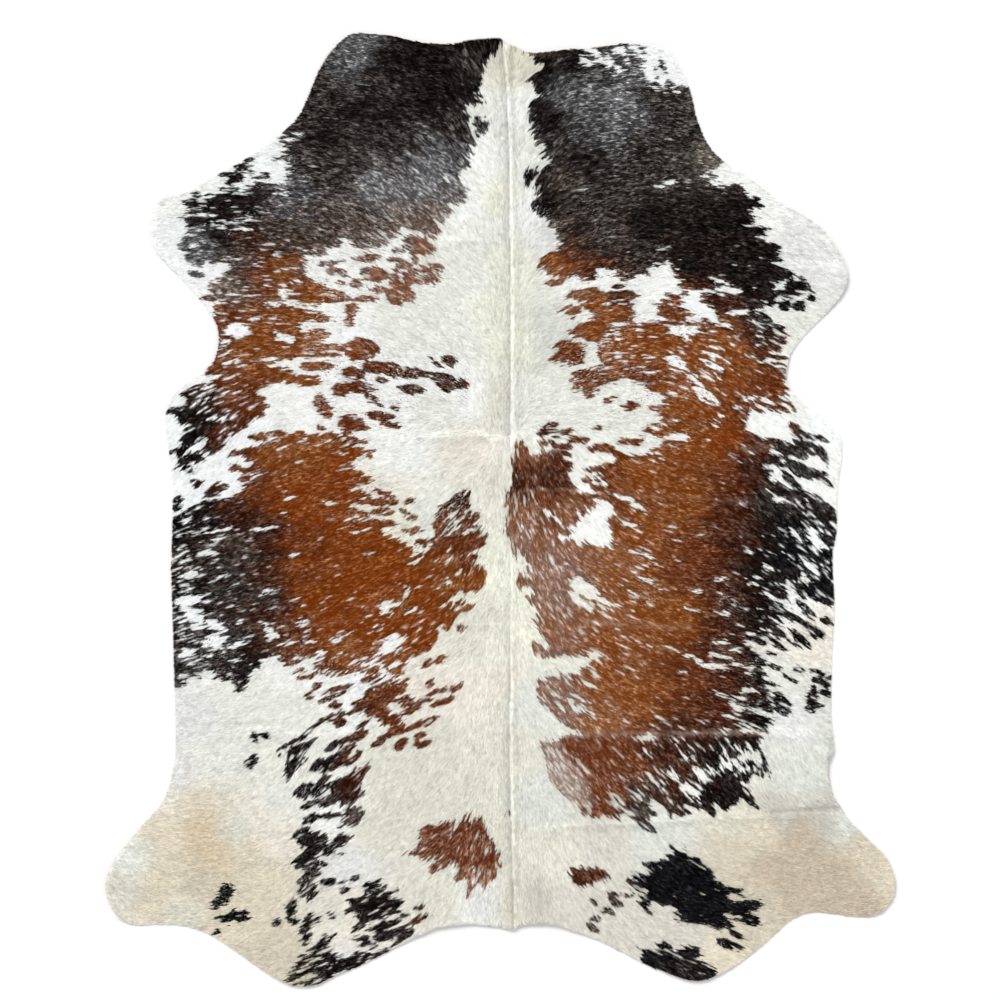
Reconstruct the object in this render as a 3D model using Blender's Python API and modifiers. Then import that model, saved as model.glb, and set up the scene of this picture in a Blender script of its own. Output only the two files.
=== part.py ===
"""Cowhide rug: one tanned hide with its hair coat, lying hair side up on a floor.

Metres. X runs across the hide, +Y towards the neck, +Z up, and the floor is at Z = 0.
"""
import bmesh
import bpy
import numpy as np
from mathutils import Vector

MM = 0.001

# Driving sizes
HIDE_THICKNESS = 0.0048   # leather with its coat pressed flat
ROWS = 50                 # mesh cells from the neck to the rump
COLUMNS_PER_SIDE = 18     # mesh cells from the spine to a side
EDGE_CUTS = 2             # extra points between two rows or columns along the cut edge
SAMPLES_PER_SPAN = 16     # points that a smooth line gets between two stations
CELL_LENGTH = 0.055       # the longest mesh cell along the hide
SNAP_SHARE = 0.45         # how close to a fold's cut a point is moved onto it, as a share of its reach

# Columns that follow the spine ridge: distances from the spine, in millimetres
SPINE_COLUMNS = (0, 5, 12, 28)

# Stations of the cut edge and the spine: across and along the hide, in millimetres.
# Every edge runs from the neck to the rump, or from the spine outwards.
SPINE = (
    (13, 1075), (13, 982), (20, 866), (24, 750), (29, 535), (31, 183),
    (25, -239), (26, -533), (29, -725), (25, -968),
)
LEFT_SIDE = (
    (-346, 1100), (-377, 1074), (-400, 1047), (-423, 1007), (-443, 958),           # neck
    (-468, 908), (-509, 868), (-575, 820), (-650, 776), (-706, 745), (-745, 727),  # shoulder
    (-777, 724), (-796, 700), (-805, 658), (-802, 612), (-777, 577),               # fore shank
    (-732, 531), (-689, 482), (-656, 432), (-650, 387), (-663, 341),               # elbow notch
    (-706, 304), (-753, 269), (-773, 222), (-772, 178), (-760, 90),                # brisket
    (-757, -16), (-760, -139), (-755, -320), (-750, -533), (-757, -607),           # flank
    (-782, -678), (-829, -733), (-874, -787), (-902, -831), (-912, -870),          # stifle
    (-905, -906), (-889, -936),                                                    # hind shank
)
RIGHT_SIDE = (
    (383, 1062), (406, 1030), (426, 993), (439, 961), (455, 896), (487, 832),      # neck
    (530, 795), (586, 757), (647, 714), (696, 684), (743, 650), (779, 600),        # shoulder
    (800, 547), (791, 507), (758, 464), (706, 410), (672, 369), (660, 331),        # fore shank
    (657, 303), (670, 276), (714, 239), (761, 201), (786, 168), (788, 125),        # elbow notch
    (777, 42), (776, -44), (766, -110), (770, -220), (765, -330), (763, -470),     # flank
    (768, -556), (755, -576), (756, -610), (767, -658), (797, -707),               # curled notch
    (848, -763), (884, -797), (903, -831), (911, -866), (903, -900), (883, -927),  # hind shank
)
NECK_LEFT = (
    (13, 1075), (-3, 1090), (-43, 1088), (-76, 1085), (-108, 1077), (-156, 1078),
    (-203, 1083), (-249, 1095), (-295, 1100), (-346, 1100),
)
NECK_RIGHT = (
    (13, 1075), (36, 1070), (66, 1056), (105, 1057), (147, 1062), (193, 1066),
    (239, 1072), (309, 1077), (356, 1073), (383, 1062),
)
RUMP_LEFT = (
    (25, -968), (-13, -963), (-66, -955), (-133, -961), (-173, -975), (-228, -1003),
    (-279, -1031), (-330, -1056), (-383, -1077), (-421, -1095), (-460, -1100), (-497, -1093),
    (-551, -1062), (-618, -1016), (-659, -989), (-694, -972), (-740, -961),
    (-798, -959), (-840, -961), (-867, -953), (-889, -936),
)
RUMP_RIGHT = (
    (25, -968), (50, -959), (90, -955), (128, -957), (165, -970), (232, -997),
    (297, -1031), (361, -1061), (420, -1081), (452, -1088), (485, -1081), (534, -1057),
    (576, -1029), (626, -988), (671, -947), (719, -930), (755, -933), (829, -941),
    (862, -938), (883, -927),
)

# Height of the pinched ridge along the spine, in millimetres: (place along the hide, height)
RIDGE_HEIGHTS = (
    (-968, 7.0), (-800, 6.0), (-533, 5.0), (-200, 4.5), (183, 5.0), (535, 5.5), (866, 8.0),
    (1075, 9.0),
)
RIDGE_REACH = 0.009        # from its crest to where it has died away

# How uneven the ridge and the folds are along their length
UNEVEN_SHARE = 0.28        # of their height
UNEVEN_LENGTHS = (0.31, 0.173, 0.097)
FOLD_WANDER = 0.0025       # how far a crest strays from its line
FOLD_SHARPNESS = 1.6       # a higher number makes a crest narrower between its feet

# Fold marks as soft ridges, in millimetres: (name, from across, along, to across, along,
# height, half its width)
FOLD_COLUMNS = ("name", "x0", "y0", "x1", "y1", "height", "reach")
FOLDS = (
    ("rump fold, right", 60, -735, 790, -697, 7.0, 16),
    ("loin fold, right", 140, -514, 760, -521, 6.0, 18),
    ("loin fold, left", -745, -507, -140, -527, 4.0, 20),
    ("back fold, right", 34, 50, 700, 12, 6.0, 18),
    ("flank fold, right", 200, -262, 480, -281, 4.0, 18),
    ("flank fold, left", -235, -270, 20, -262, 3.5, 18),
    ("star pucker", -235, 168, 20, 174, 6.0, 16),
    ("withers fold, left", -170, 621, 0, 628, 4.0, 18),
    ("fore shank fold, right", 655, 560, 766, 565, 5.0, 16),
)

# Places where the edge lifts off the floor, in millimetres: (name, across, along, height, reach)
LIFT_COLUMNS = ("name", "x", "y", "height", "reach")
EDGE_LIFTS = (
    ("neck, left", -200, 1110, 11, 110),
    ("neck corner, left", -365, 1105, 14, 90),
    ("neck trough, right", 130, 1085, 16, 75),
    ("neck, right", 290, 1100, 9, 110),
    ("neck corner, right", 405, 1070, 12, 80),
    ("fore shank, left", -815, 660, 9, 90),
    ("fore shank, right", 815, 560, 12, 100),
    ("elbow notch, left", -635, 390, 7, 70),
    ("elbow notch, right", 645, 305, 8, 70),
    ("flank, left", -775, -100, 5, 90),
    ("curled notch, right", 775, -588, 15, 55),
    ("hind shank, left", -925, -880, 8, 90),
    ("hind shank, right", 925, -875, 9, 90),
    ("rump, left", -100, -985, 11, 90),
    ("rump lobe, left", -465, -1115, 8, 110),
    ("rump, right", 110, -985, 13, 85),
    ("rump lobe, right", 455, -1105, 9, 100),
)

# The slack of the hide: low swells between the places where it touches the floor
SWELL_HEIGHT = 0.0050
SWELL_REST = 0.35          # how much of a swell's height stays below the floor, so it lies flat
SWELL_LENGTHS = (0.62, 0.47, 0.81)
SWELL_TURNS = (0.35, 1.90, 2.75)
PRESSED_FLAT = 0.0004      # rises lower than this lie on the floor

COAT_BROWN = (0.21, 0.085, 0.035, 1.0)
COAT_ROUGHNESS = 0.62


def clear_scene():
    """Removes whatever the file starts with."""
    for thing in list(bpy.data.objects):
        bpy.data.objects.remove(thing, do_unlink=True)


def smooth_line(stations):
    """A dense Catmull-Rom line through the stations, in metres."""
    points = np.array(stations, float) * MM
    padded = np.vstack([2 * points[0] - points[1], points, 2 * points[-1] - points[-2]])
    steps = np.linspace(0, 1, SAMPLES_PER_SPAN, endpoint=False)[:, None]
    spans = []
    for before, start, end, after in zip(padded, padded[1:], padded[2:], padded[3:]):
        slope_in = (end - before) / 2
        slope_out = (after - start) / 2
        rise = end - start
        spans.append(
            start
            + slope_in * steps
            + (3 * rise - 2 * slope_in - slope_out) * steps**2
            + (slope_in + slope_out - 2 * rise) * steps**3
        )
    return np.vstack([*spans, points[-1:]])


def along(line, shares):
    """Points at these shares of a line's length."""
    lengths = np.concatenate([[0], np.cumsum(np.linalg.norm(np.diff(line, axis=0), axis=1))])
    places = shares * lengths[-1]
    return np.stack([np.interp(places, lengths, line[:, axis]) for axis in (0, 1)], axis=1)


def half_hide(outwards, downwards, neck, side, rump):
    """Blends the spine, neck, side and rump lines into the points of one half of the hide."""
    spine = smooth_line(SPINE)
    neck, side, rump = smooth_line(neck), smooth_line(side), smooth_line(rump)
    spine_points, side_points = along(spine, downwards), along(side, downwards)
    half_widths = np.linalg.norm(side_points - spine_points, axis=1)
    near_spine = np.array(SPINE_COLUMNS) * MM
    columns = outwards * COLUMNS_PER_SIDE
    last = len(SPINE_COLUMNS) - 1
    start = np.interp(columns, range(last + 1), near_spine) / half_widths
    beyond = (columns - last) / (COLUMNS_PER_SIDE - last)
    outwards = np.where(columns <= last, start, start + (1 - start) * beyond)
    u, v = outwards[:, None], downwards[:, None]
    across = (1 - u) * spine_points + u * side_points
    lengthwise = (1 - v) * along(neck, outwards) + v * along(rump, outwards)
    corners = (1 - u) * ((1 - v) * spine[0] + v * spine[-1]) + u * (
        (1 - v) * side[0] + v * side[-1]
    )
    return across + lengthwise - corners


def column(table, names, name):
    """One named column of a table, in metres."""
    return np.array([row[names.index(name)] for row in table], float) * MM


def uneven(places, start):
    """A wave between -1 and 1 that never repeats over the length of the hide."""
    waves = [np.sin(2 * np.pi * places / length + start) for length in UNEVEN_LENGTHS]
    return sum(waves) / len(waves)


def ridge_height(x, y):
    """The pinched ridge over the backbone."""
    spine = smooth_line(SPINE)[::-1]
    away = np.abs(x - np.interp(y, spine[:, 1], spine[:, 0])) / RIDGE_REACH
    places, heights = np.array(RIDGE_HEIGHTS).T * MM
    crest = np.interp(y, places, heights) * (1 + UNEVEN_SHARE * uneven(y, 0))
    return crest * np.exp(-away**2)


def fold_height(x, y):
    """All fold marks, each highest halfway along and gone at its ends."""
    total = np.zeros_like(x)
    names = ("x0", "y0", "x1", "y1", "height", "reach")
    for x0, y0, x1, y1, height, reach in zip(*(column(FOLDS, FOLD_COLUMNS, n) for n in names)):
        run = np.hypot(x1 - x0, y1 - y0)
        share = ((x - x0) * (x1 - x0) + (y - y0) * (y1 - y0)) / run**2
        away = ((y - y0) * (x1 - x0) - (x - x0) * (y1 - y0)) / run
        away += FOLD_WANDER * uneven(x, y0 / MM)
        swell = np.sin(np.pi * np.clip(share, 0, 1)) ** 0.5 * (1 + UNEVEN_SHARE * uneven(x, y1 / MM))
        total += height * swell * np.exp(-((away / reach * FOLD_SHARPNESS) ** 2))
    return total


def lift_height(x, y):
    """The edges and tips that stand off the floor."""
    total = np.zeros_like(x)
    names = ("x", "y", "height", "reach")
    for at_x, at_y, height, reach in zip(*(column(EDGE_LIFTS, LIFT_COLUMNS, n) for n in names)):
        away = np.hypot(x - at_x, y - at_y) / reach
        total = np.maximum(total, height * np.exp(-away**2))
    return total


def swell_height(x, y):
    """Slack in the leather, cut off at the floor so that most of the hide lies flat."""
    waves = np.zeros_like(x)
    for length, turn in zip(SWELL_LENGTHS, SWELL_TURNS):
        waves += np.sin(2 * np.pi / length * (x * np.cos(turn) + y * np.sin(turn)) + turn)
    waves /= len(SWELL_LENGTHS)
    return SWELL_HEIGHT * np.maximum(waves - SWELL_REST, 0) / (1 - SWELL_REST)


def underside_height(x, y):
    """How far the hide stands off the floor. Its own weight presses the faintest rises flat."""
    raised = np.maximum(ridge_height(x, y), fold_height(x, y)) + lift_height(x, y) + swell_height(x, y)
    return np.maximum(raised - PRESSED_FLAT, 0)


def near_fold(face, x0, x1, y_low, y_high):
    centre = face.calc_center_median()
    return x0 < centre.x < x1 and y_low < centre.y < y_high


def cut_folds(sheet):
    """Cuts the sheet along the crest and both feet of each fold mark, so that it bends there.

    Points close to a cut move onto it, which leaves no slivers beside it.
    """
    for _, *numbers in FOLDS:
        x0, y0, x1, y1, _, reach = (value * MM for value in numbers)
        normal = Vector((y0 - y1, x1 - x0, 0)).normalized()
        for shift in (-reach, reach, 0):
            y_low, y_high = min(y0, y1) + shift - CELL_LENGTH, max(y0, y1) + shift + CELL_LENGTH
            faces = [f for f in sheet.faces if near_fold(f, x0, x1, y_low, y_high)]
            edges = {edge for face in faces for edge in face.edges}
            corners = {corner for face in faces for corner in face.verts}
            bmesh.ops.bisect_plane(
                sheet,
                geom=[*corners, *edges, *faces],
                dist=reach * SNAP_SHARE,
                plane_co=(x0, y0 + shift, 0),
                plane_no=normal,
                use_snap_center=True,
            )


def coat_material():
    coat = bpy.data.materials.new("hair_on_hide")
    coat.use_nodes = True
    shader = coat.node_tree.nodes["Principled BSDF"]
    shader.inputs["Base Color"].default_value = COAT_BROWN
    shader.inputs["Roughness"].default_value = COAT_ROUGHNESS
    shader.inputs["Metallic"].default_value = 0.0
    return coat


def make_hide():
    """A grid drawn out to the cut edge, creased, raised and given its thickness."""
    bpy.ops.mesh.primitive_grid_add(
        x_subdivisions=2 * COLUMNS_PER_SIDE, y_subdivisions=ROWS, size=2, location=(0, 0, 0)
    )
    hide = bpy.context.object
    hide.name = hide.data.name = "hide"
    sheet = bmesh.new()
    sheet.from_mesh(hide.data)
    rim = [edge for edge in sheet.edges if edge.is_boundary]
    bmesh.ops.subdivide_edges(sheet, edges=rim, cuts=EDGE_CUTS)
    flat = np.array([corner.co[:2] for corner in sheet.verts])
    outwards, downwards = np.abs(flat[:, 0]), (1 - flat[:, 1]) / 2
    left = half_hide(outwards, downwards, NECK_LEFT, LEFT_SIDE, RUMP_LEFT)
    right = half_hide(outwards, downwards, NECK_RIGHT, RIGHT_SIDE, RUMP_RIGHT)
    for corner, place in zip(sheet.verts, np.where(flat[:, :1] < 0, left, right)):
        corner.co = (*place, 0)
    cut_folds(sheet)
    places = np.array([corner.co[:2] for corner in sheet.verts])
    for corner, height in zip(sheet.verts, underside_height(places[:, 0], places[:, 1])):
        corner.co.z = height
    sheet.to_mesh(hide.data)
    sheet.free()
    hide.data.shade_smooth()
    hide.data.materials.append(coat_material())
    wall = hide.modifiers.new("leather and coat", "SOLIDIFY")
    wall.thickness = HIDE_THICKNESS
    wall.offset = 1
    return hide


def main():
    clear_scene()
    rug = bpy.data.collections.new("cowhide rug")
    bpy.context.scene.collection.children.link(rug)
    hide = make_hide()
    for holder in list(hide.users_collection):
        holder.objects.unlink(hide)
    rug.objects.link(hide)


main()
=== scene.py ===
# %% [markdown]
# # A cowhide rug
#
# The rug is one tanned hide with its own hair left on, lying hair side up on a floor. The solid part
# gives its cut edge, its spine ridge and its folds. What is missing is what a hand would feel: the
# leather underneath, and a coat of short hair in white, black, ginger and beige that lies flat and
# turns its way over the animal. These cells first draw the lay and the colours of the coat as maps over
# the hide. Then they make the skin, and last the hair itself, lock by lock.

# %% The solid frame
import math

import bmesh
import bpy
import numpy as np
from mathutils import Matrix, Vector
from mathutils.bvhtree import BVHTree


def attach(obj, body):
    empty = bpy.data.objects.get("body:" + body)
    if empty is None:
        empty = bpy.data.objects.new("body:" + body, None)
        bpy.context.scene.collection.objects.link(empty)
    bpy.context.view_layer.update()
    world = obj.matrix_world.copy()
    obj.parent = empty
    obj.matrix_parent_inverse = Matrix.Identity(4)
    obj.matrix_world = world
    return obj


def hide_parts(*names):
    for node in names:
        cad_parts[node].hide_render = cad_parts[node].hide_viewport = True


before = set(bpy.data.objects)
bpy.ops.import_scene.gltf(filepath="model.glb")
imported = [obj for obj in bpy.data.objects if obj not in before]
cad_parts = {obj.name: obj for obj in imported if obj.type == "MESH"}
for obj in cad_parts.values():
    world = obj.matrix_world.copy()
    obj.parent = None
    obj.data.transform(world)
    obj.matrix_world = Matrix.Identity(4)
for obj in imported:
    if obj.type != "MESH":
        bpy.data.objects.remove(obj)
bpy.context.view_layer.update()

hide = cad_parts["hide"]

# %% [markdown]
# ## Looking straight down
#
# The hide was photographed from straight above, so a pixel is a place on the floor. Every map below is
# laid out in those pixels, and these few numbers turn one into metres. A long lens far away would
# also do for the view, but a camera 6 m up with a lens to match keeps the little perspective that a
# real one has.

# %% Photo pixels to metres
PIXEL = 0.0023158                # metres of hide under one pixel of the photograph
MIDDLE_COLUMN, MIDDLE_ROW = 500.6, 510.0   # the pixel above the middle of the hide
IMAGE_SIZE = 1000
CAMERA_HEIGHT = 6.0
SENSOR_WIDTH = 0.036
MILLIMETRES = 1000               # in a metre: a camera's own sizes are in millimetres


def to_metres(column, row):
    return (column - MIDDLE_COLUMN) * PIXEL, (MIDDLE_ROW - row) * PIXEL


def to_pixels(x, y):
    return x / PIXEL + MIDDLE_COLUMN, MIDDLE_ROW - y / PIXEL


camera_x, camera_y = to_metres(IMAGE_SIZE / 2, IMAGE_SIZE / 2)
bpy.ops.object.select_all(action="DESELECT")
bpy.ops.object.camera_add(location=(camera_x, camera_y, CAMERA_HEIGHT), rotation=(0, 0, 0))
camera = bpy.context.object
camera.name = "camera"
camera.data.sensor_width = SENSOR_WIDTH * MILLIMETRES
camera.data.lens = CAMERA_HEIGHT * SENSOR_WIDTH / (IMAGE_SIZE * PIXEL) * MILLIMETRES
bpy.context.scene.camera = camera
print("lens", round(camera.data.lens, 2), "mm")

# %% [markdown]
# ## Shader maths in plain Python
#
# A material is a net of nodes. Wiring each by hand hides what is worked out, so a small class stands
# for a node's output and turns + and * into Math nodes, and one method makes every other node.

# %% A bench for materials
class Wire:
    """The output of a node. Sums and products of it add Math nodes."""

    def __init__(self, bench, socket):
        self.bench, self.socket = bench, socket

    def __add__(self, other):
        return self.bench.node("ShaderNodeMath", {"operation": "ADD"}, {0: self, 1: other})

    def __mul__(self, other):
        return self.bench.node("ShaderNodeMath", {"operation": "MULTIPLY"}, {0: self, 1: other})

    __radd__, __rmul__ = __add__, __mul__


class Bench:
    """One material with its net of nodes."""

    def __init__(self, name):
        self.material = bpy.data.materials.new(name)
        self.material.use_nodes = True
        self.nodes = self.material.node_tree.nodes
        self.shader = self.nodes["Principled BSDF"]

    def plug(self, socket, value):
        if isinstance(value, Wire):
            self.material.node_tree.links.new(value.socket, socket)
        else:
            socket.default_value = value

    def node(self, kind, settings=None, inputs=None, output=0):
        made = self.nodes.new(kind)
        for name, value in (settings or {}).items():
            setattr(made, name, value)
        for name, value in (inputs or {}).items():
            self.plug(made.inputs[name], value)
        return Wire(self, made.outputs[output])

    def finish(self, **inputs):
        for name, value in inputs.items():
            self.plug(self.shader.inputs[name.replace("_", " ")], value)
        return self.material


# %% [markdown]
# ## Floor and light
#
# The photograph has no floor at all, only white, and light so soft that the hide hardly throws a
# shadow. A lamp close by would leave the far end of two metres of hide in the dark. So the light is a
# wide soft sun from beyond the neck, which is as strong everywhere, under a bright even sky: the ridges
# still show, and the floor is just white.

# %% Floor, sky and sun
FLOOR_SIZE = 14.0
FLOOR_DROP = 0.0002              # keeps the floor just clear of the hide's underside
FLOOR_COLOUR = (0.82, 0.82, 0.82, 1)
SKY_COLOUR = (1.0, 1.0, 1.0, 1)
SKY_STRENGTH = 0.80
SUN_FROM = (-1.6, 2.8, 3.4)      # a place that the sun shines from, beside the neck
SUN_STRENGTH = 2.1
SUN_WIDTH = math.radians(24)     # a wider sun has softer shadows

bpy.ops.object.select_all(action="DESELECT")
bpy.ops.mesh.primitive_plane_add(size=FLOOR_SIZE, location=(0, 0, 0))
floor = bpy.context.object
floor.name = "floor"
bpy.ops.object.mode_set(mode="EDIT")
bpy.ops.mesh.select_all(action="SELECT")
bpy.ops.transform.translate(value=(0, 0, -FLOOR_DROP))
bpy.ops.object.mode_set(mode="OBJECT")
paint = Bench("floor_paint")
floor.data.materials.append(paint.finish(Base_Color=FLOOR_COLOUR, Roughness=0.9))

world = bpy.data.worlds.new("soft_sky")
world.use_nodes = True
sky = world.node_tree.nodes["Background"]
sky.inputs["Color"].default_value = SKY_COLOUR
sky.inputs["Strength"].default_value = SKY_STRENGTH
bpy.context.scene.world = world

bpy.ops.object.light_add(type="SUN", location=SUN_FROM)
sun = bpy.context.object
sun.name = "soft_sun"
sun.data.energy = SUN_STRENGTH
sun.data.angle = SUN_WIDTH
sun.rotation_euler = (-Vector(SUN_FROM)).to_track_quat("-Z", "Y").to_euler()
bpy.context.scene.view_settings.view_transform = "Standard"
print("sun at", round(math.degrees(math.asin(SUN_FROM[2] / math.hypot(*SUN_FROM)))), "degrees")

# %% [markdown]
# ## Maps over the hide
#
# The lay of the hair and the colours change all over the hide. They could be painted, or worked out
# in a shader, but hair made as real shapes has to know them too. So each is a map: a table of numbers
# with a value for each pixel of the photograph, made from short tables of what the hide shows, and
# looked up at any place by blending its four neighbours.

# %% The grid of the maps
LEFT_COLUMN, RIGHT_COLUMN = 92, 908
TOP_ROW, BOTTOM_ROW = 22, 998
SHORT_OF_END = 1.001         # holds a place this far from a map's end, so that it has four neighbours
COARSE = 4                   # what changes slowly is worked out at every fourth pixel

columns, rows = np.meshgrid(
    np.arange(LEFT_COLUMN, RIGHT_COLUMN, dtype=float), np.arange(TOP_ROW, BOTTOM_ROW, dtype=float)
)
coarse_columns, coarse_rows = columns[::COARSE, ::COARSE], rows[::COARSE, ::COARSE]


def look_up(field, column, row):
    """The value of a map at these places."""
    across = np.clip(column - LEFT_COLUMN, 0, field.shape[1] - SHORT_OF_END)
    down = np.clip(row - TOP_ROW, 0, field.shape[0] - SHORT_OF_END)
    i, j = across.astype(int), down.astype(int)
    u, v = across - i, down - j
    if field.ndim == 3:
        u, v = u[..., None], v[..., None]
    upper = field[j, i] * (1 - u) + field[j, i + 1] * u
    lower = field[j + 1, i] * (1 - u) + field[j + 1, i + 1] * u
    return upper * (1 - v) + lower * v


def from_coarse(field):
    """A map at full size, from one with a value for every fourth pixel."""
    column = (columns - LEFT_COLUMN) / COARSE + LEFT_COLUMN
    row = (rows - TOP_ROW) / COARSE + TOP_ROW
    return look_up(field, column, row)


print("maps of", columns.shape[1], "by", columns.shape[0], "pixels")

# %% Reading a table
def by_column(names, table):
    """A table's columns as arrays, each under its name."""
    return dict(zip(names, np.array(table, float).T))


def blended(stations, values, falloff, reach=6.0):
    """A map that passes from station to station. A higher falloff keeps each to its own ground."""
    total = np.zeros((*coarse_columns.shape, values.shape[1]))
    weights = np.zeros(coarse_columns.shape)
    for column, row, value in zip(stations["column"], stations["row"], values):
        away = (coarse_columns - column) ** 2 + (coarse_rows - row) ** 2 + reach**2
        weight = away ** (-falloff / 2)
        total += weight[..., None] * value
        weights += weight
    return from_coarse(total / weights[..., None])


print("blended at", coarse_columns.shape[1], "by", coarse_columns.shape[0], "places")

# %% [markdown]
# ## The lay of the coat
#
# Cow hair doesn't point at random. On this hide a whorl lies on the spine, where the skin has a small
# star-shaped pucker. Ahead of it the hair runs towards the neck and out to the sides, and behind it
# towards the rump and out. A table gives the way that the tips point at places all over the hide, in
# degrees clockwise from the photograph's right, and the map turns smoothly between them.

# %% Which way the hair points
LAY_FALLOFF = 4.0
LAY_COLUMNS = ("column", "row", "heading")
LAY = (
    # the spine, ahead of the whorl and behind it
    (508, 60, 270), (508, 130, 270), (508, 210, 272), (508, 300, 268), (507, 380, 270), (500, 425, 272),
    (506, 450, 90), (508, 500, 90), (508, 580, 90), (508, 660, 90), (509, 740, 90), (509, 820, 90),
    (509, 900, 90),
    # neck, left and right
    (480, 70, 235), (480, 140, 235), (470, 190, 225), (430, 60, 192), (420, 110, 190), (350, 60, 186),
    (330, 110, 187), (440, 160, 212), (400, 200, 212), (340, 180, 192), (300, 150, 185), (535, 70, 320),
    (545, 130, 335), (590, 60, 355), (600, 110, 358), (650, 80, 0), (680, 140, 8), (600, 180, 352),
    (650, 220, 355), (560, 220, 340), (710, 180, 10),
    # shoulders and fore shanks
    (210, 200, 178), (175, 230, 170), (240, 240, 180), (290, 220, 186), (330, 260, 202),
    (240, 290, 178), (430, 300, 207), (400, 350, 202), (470, 270, 222), (475, 350, 215),
    (440, 400, 200), (320, 320, 184), (260, 340, 176), (230, 370, 165), (350, 380, 186),
    (300, 400, 170), (540, 300, 335), (560, 380, 345), (620, 300, 354), (640, 360, 357), (720, 250, 5),
    (700, 320, 8), (780, 220, 18), (820, 260, 25), (790, 280, 16), (770, 350, 25), (780, 390, 30),
    (560, 410, 350), (630, 410, 4), (710, 390, 32), (740, 370, 35), (740, 410, 34), (680, 360, 20),
    (670, 400, 12),
    # flanks
    (200, 420, 145), (240, 440, 142), (180, 460, 140), (440, 430, 165), (475, 445, 150),
    (400, 460, 168), (320, 460, 165), (250, 490, 160), (200, 540, 162), (280, 560, 163),
    (360, 540, 162), (430, 500, 145), (465, 530, 133), (480, 600, 125), (420, 590, 150),
    (350, 620, 158), (270, 640, 163), (200, 650, 164), (200, 600, 163), (490, 680, 108),
    (440, 660, 145), (380, 690, 147), (320, 700, 148), (250, 720, 158), (190, 740, 160),
    (420, 740, 142), (340, 750, 140), (300, 770, 127), (480, 760, 105), (440, 800, 125), (530, 460, 65),
    (540, 520, 64), (535, 580, 62), (545, 630, 55), (590, 460, 40), (590, 520, 45), (590, 580, 33),
    (640, 480, 24), (640, 560, 22), (700, 460, 12), (700, 550, 12), (700, 620, 14), (760, 440, 28),
    (800, 460, 42), (800, 500, 40), (770, 540, 30), (815, 560, 42), (800, 620, 38), (760, 600, 28),
    (740, 660, 16), (640, 640, 26), (590, 650, 34), (540, 690, 50), (560, 700, 40), (620, 700, 25),
    (680, 700, 18), (740, 710, 20), (790, 690, 24), (820, 700, 15), (800, 760, 60),
    # rump
    (550, 760, 55), (570, 790, 50), (620, 770, 45), (660, 760, 50), (700, 770, 52), (735, 760, 55),
    (755, 765, 62), (640, 810, 42), (720, 800, 42), (525, 760, 82), (530, 840, 86), (540, 900, 84),
    (590, 840, 60), (590, 875, 48), (600, 910, 52), (650, 870, 36), (690, 860, 28), (690, 900, 22),
    (740, 905, 8), (730, 940, 28), (680, 960, 22), (630, 940, 38), (700, 930, 14), (560, 900, 70),
    (495, 850, 98), (465, 850, 112), (430, 845, 142), (480, 890, 103), (440, 900, 125), (400, 850, 138),
    (390, 900, 152), (350, 900, 153), (310, 850, 150), (345, 785, 132), (330, 830, 148),
    (300, 890, 140), (260, 800, 150), (220, 770, 155), (330, 965, 157), (300, 940, 152),
    (380, 945, 156),
    # hind shanks
    (200, 820, 178), (200, 860, 181), (240, 880, 178), (170, 900, 183), (140, 880, 205),
    (120, 900, 215), (150, 840, 190), (250, 940, 163), (230, 915, 172), (180, 920, 183),
    (290, 960, 160), (780, 830, 4), (800, 860, 0), (840, 880, 358), (880, 880, 350), (800, 900, 2),
    (750, 860, 12), (860, 850, 20), (760, 950, 20), (830, 815, 30), (780, 800, 45),
)
TINY = 1e-9                  # keeps a division from meeting zero

lay_stations = by_column(LAY_COLUMNS, LAY)
headings = np.radians(lay_stations["heading"])
lay = blended(lay_stations, np.stack([np.cos(headings), np.sin(headings)], axis=1), LAY_FALLOFF)
lay /= np.linalg.norm(lay, axis=2, keepdims=True) + TINY
print("lay of the coat from", len(LAY), "stations")

# %% [markdown]
# ## Streaks
#
# Wherever two colours meet on a hide the edge is torn into teeth, because whole locks lie over it. The
# tear runs with the hair. Plain noise has no direction, so it is smeared along the lay: each place
# takes the mean of the noise on its own hair's path. A table gives the width and the length of five
# kinds in pixels, from single hairs to tufts.

# %% Noise that runs with the hair
STREAK_STEPS = 8
BLUR_SPAN = 2.5              # a blur reaches as far as this many of its widths
STREAK_COLUMNS = ("width", "length", "seed")
STREAKS = {
    "grain": (0.35, 2, 14), "hair": (0.45, 5, 11), "lock": (0.9, 8, 12), "tuft": (3.0, 20, 13),
    "fleck": (0.55, 6, 15),
}


def softened(field, width):
    """A map blurred by this many pixels."""
    span = int(np.ceil(BLUR_SPAN * width))
    shares = np.exp(-0.5 * (np.arange(-span, span + 1) / width) ** 2)
    shares /= shares.sum()
    for axis in (0, 1):
        field = sum(share * np.roll(field, k - span, axis) for k, share in enumerate(shares))
    return field


def streaks(width, length, seed):
    """Noise as wide and as long as a lock, with a mean of 0 and a spread of 1."""
    noise = np.random.default_rng(seed).normal(size=columns.shape)
    noise = softened(noise, width)
    step = length / STREAK_STEPS
    total = noise.copy()
    for way in (step, -step):
        column, row = columns.copy(), rows.copy()
        for k in range(1, STREAK_STEPS + 1):
            turn = look_up(lay, column, row)
            column += way * turn[..., 0]
            row += way * turn[..., 1]
            total += look_up(noise, column, row) * np.cos(0.5 * np.pi * k / (STREAK_STEPS + 1))
    return (total - total.mean()) / total.std()


streak = {kind: streaks(**dict(zip(STREAK_COLUMNS, facts))) for kind, facts in STREAKS.items()}
print("streaks:", ", ".join(streak))

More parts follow.
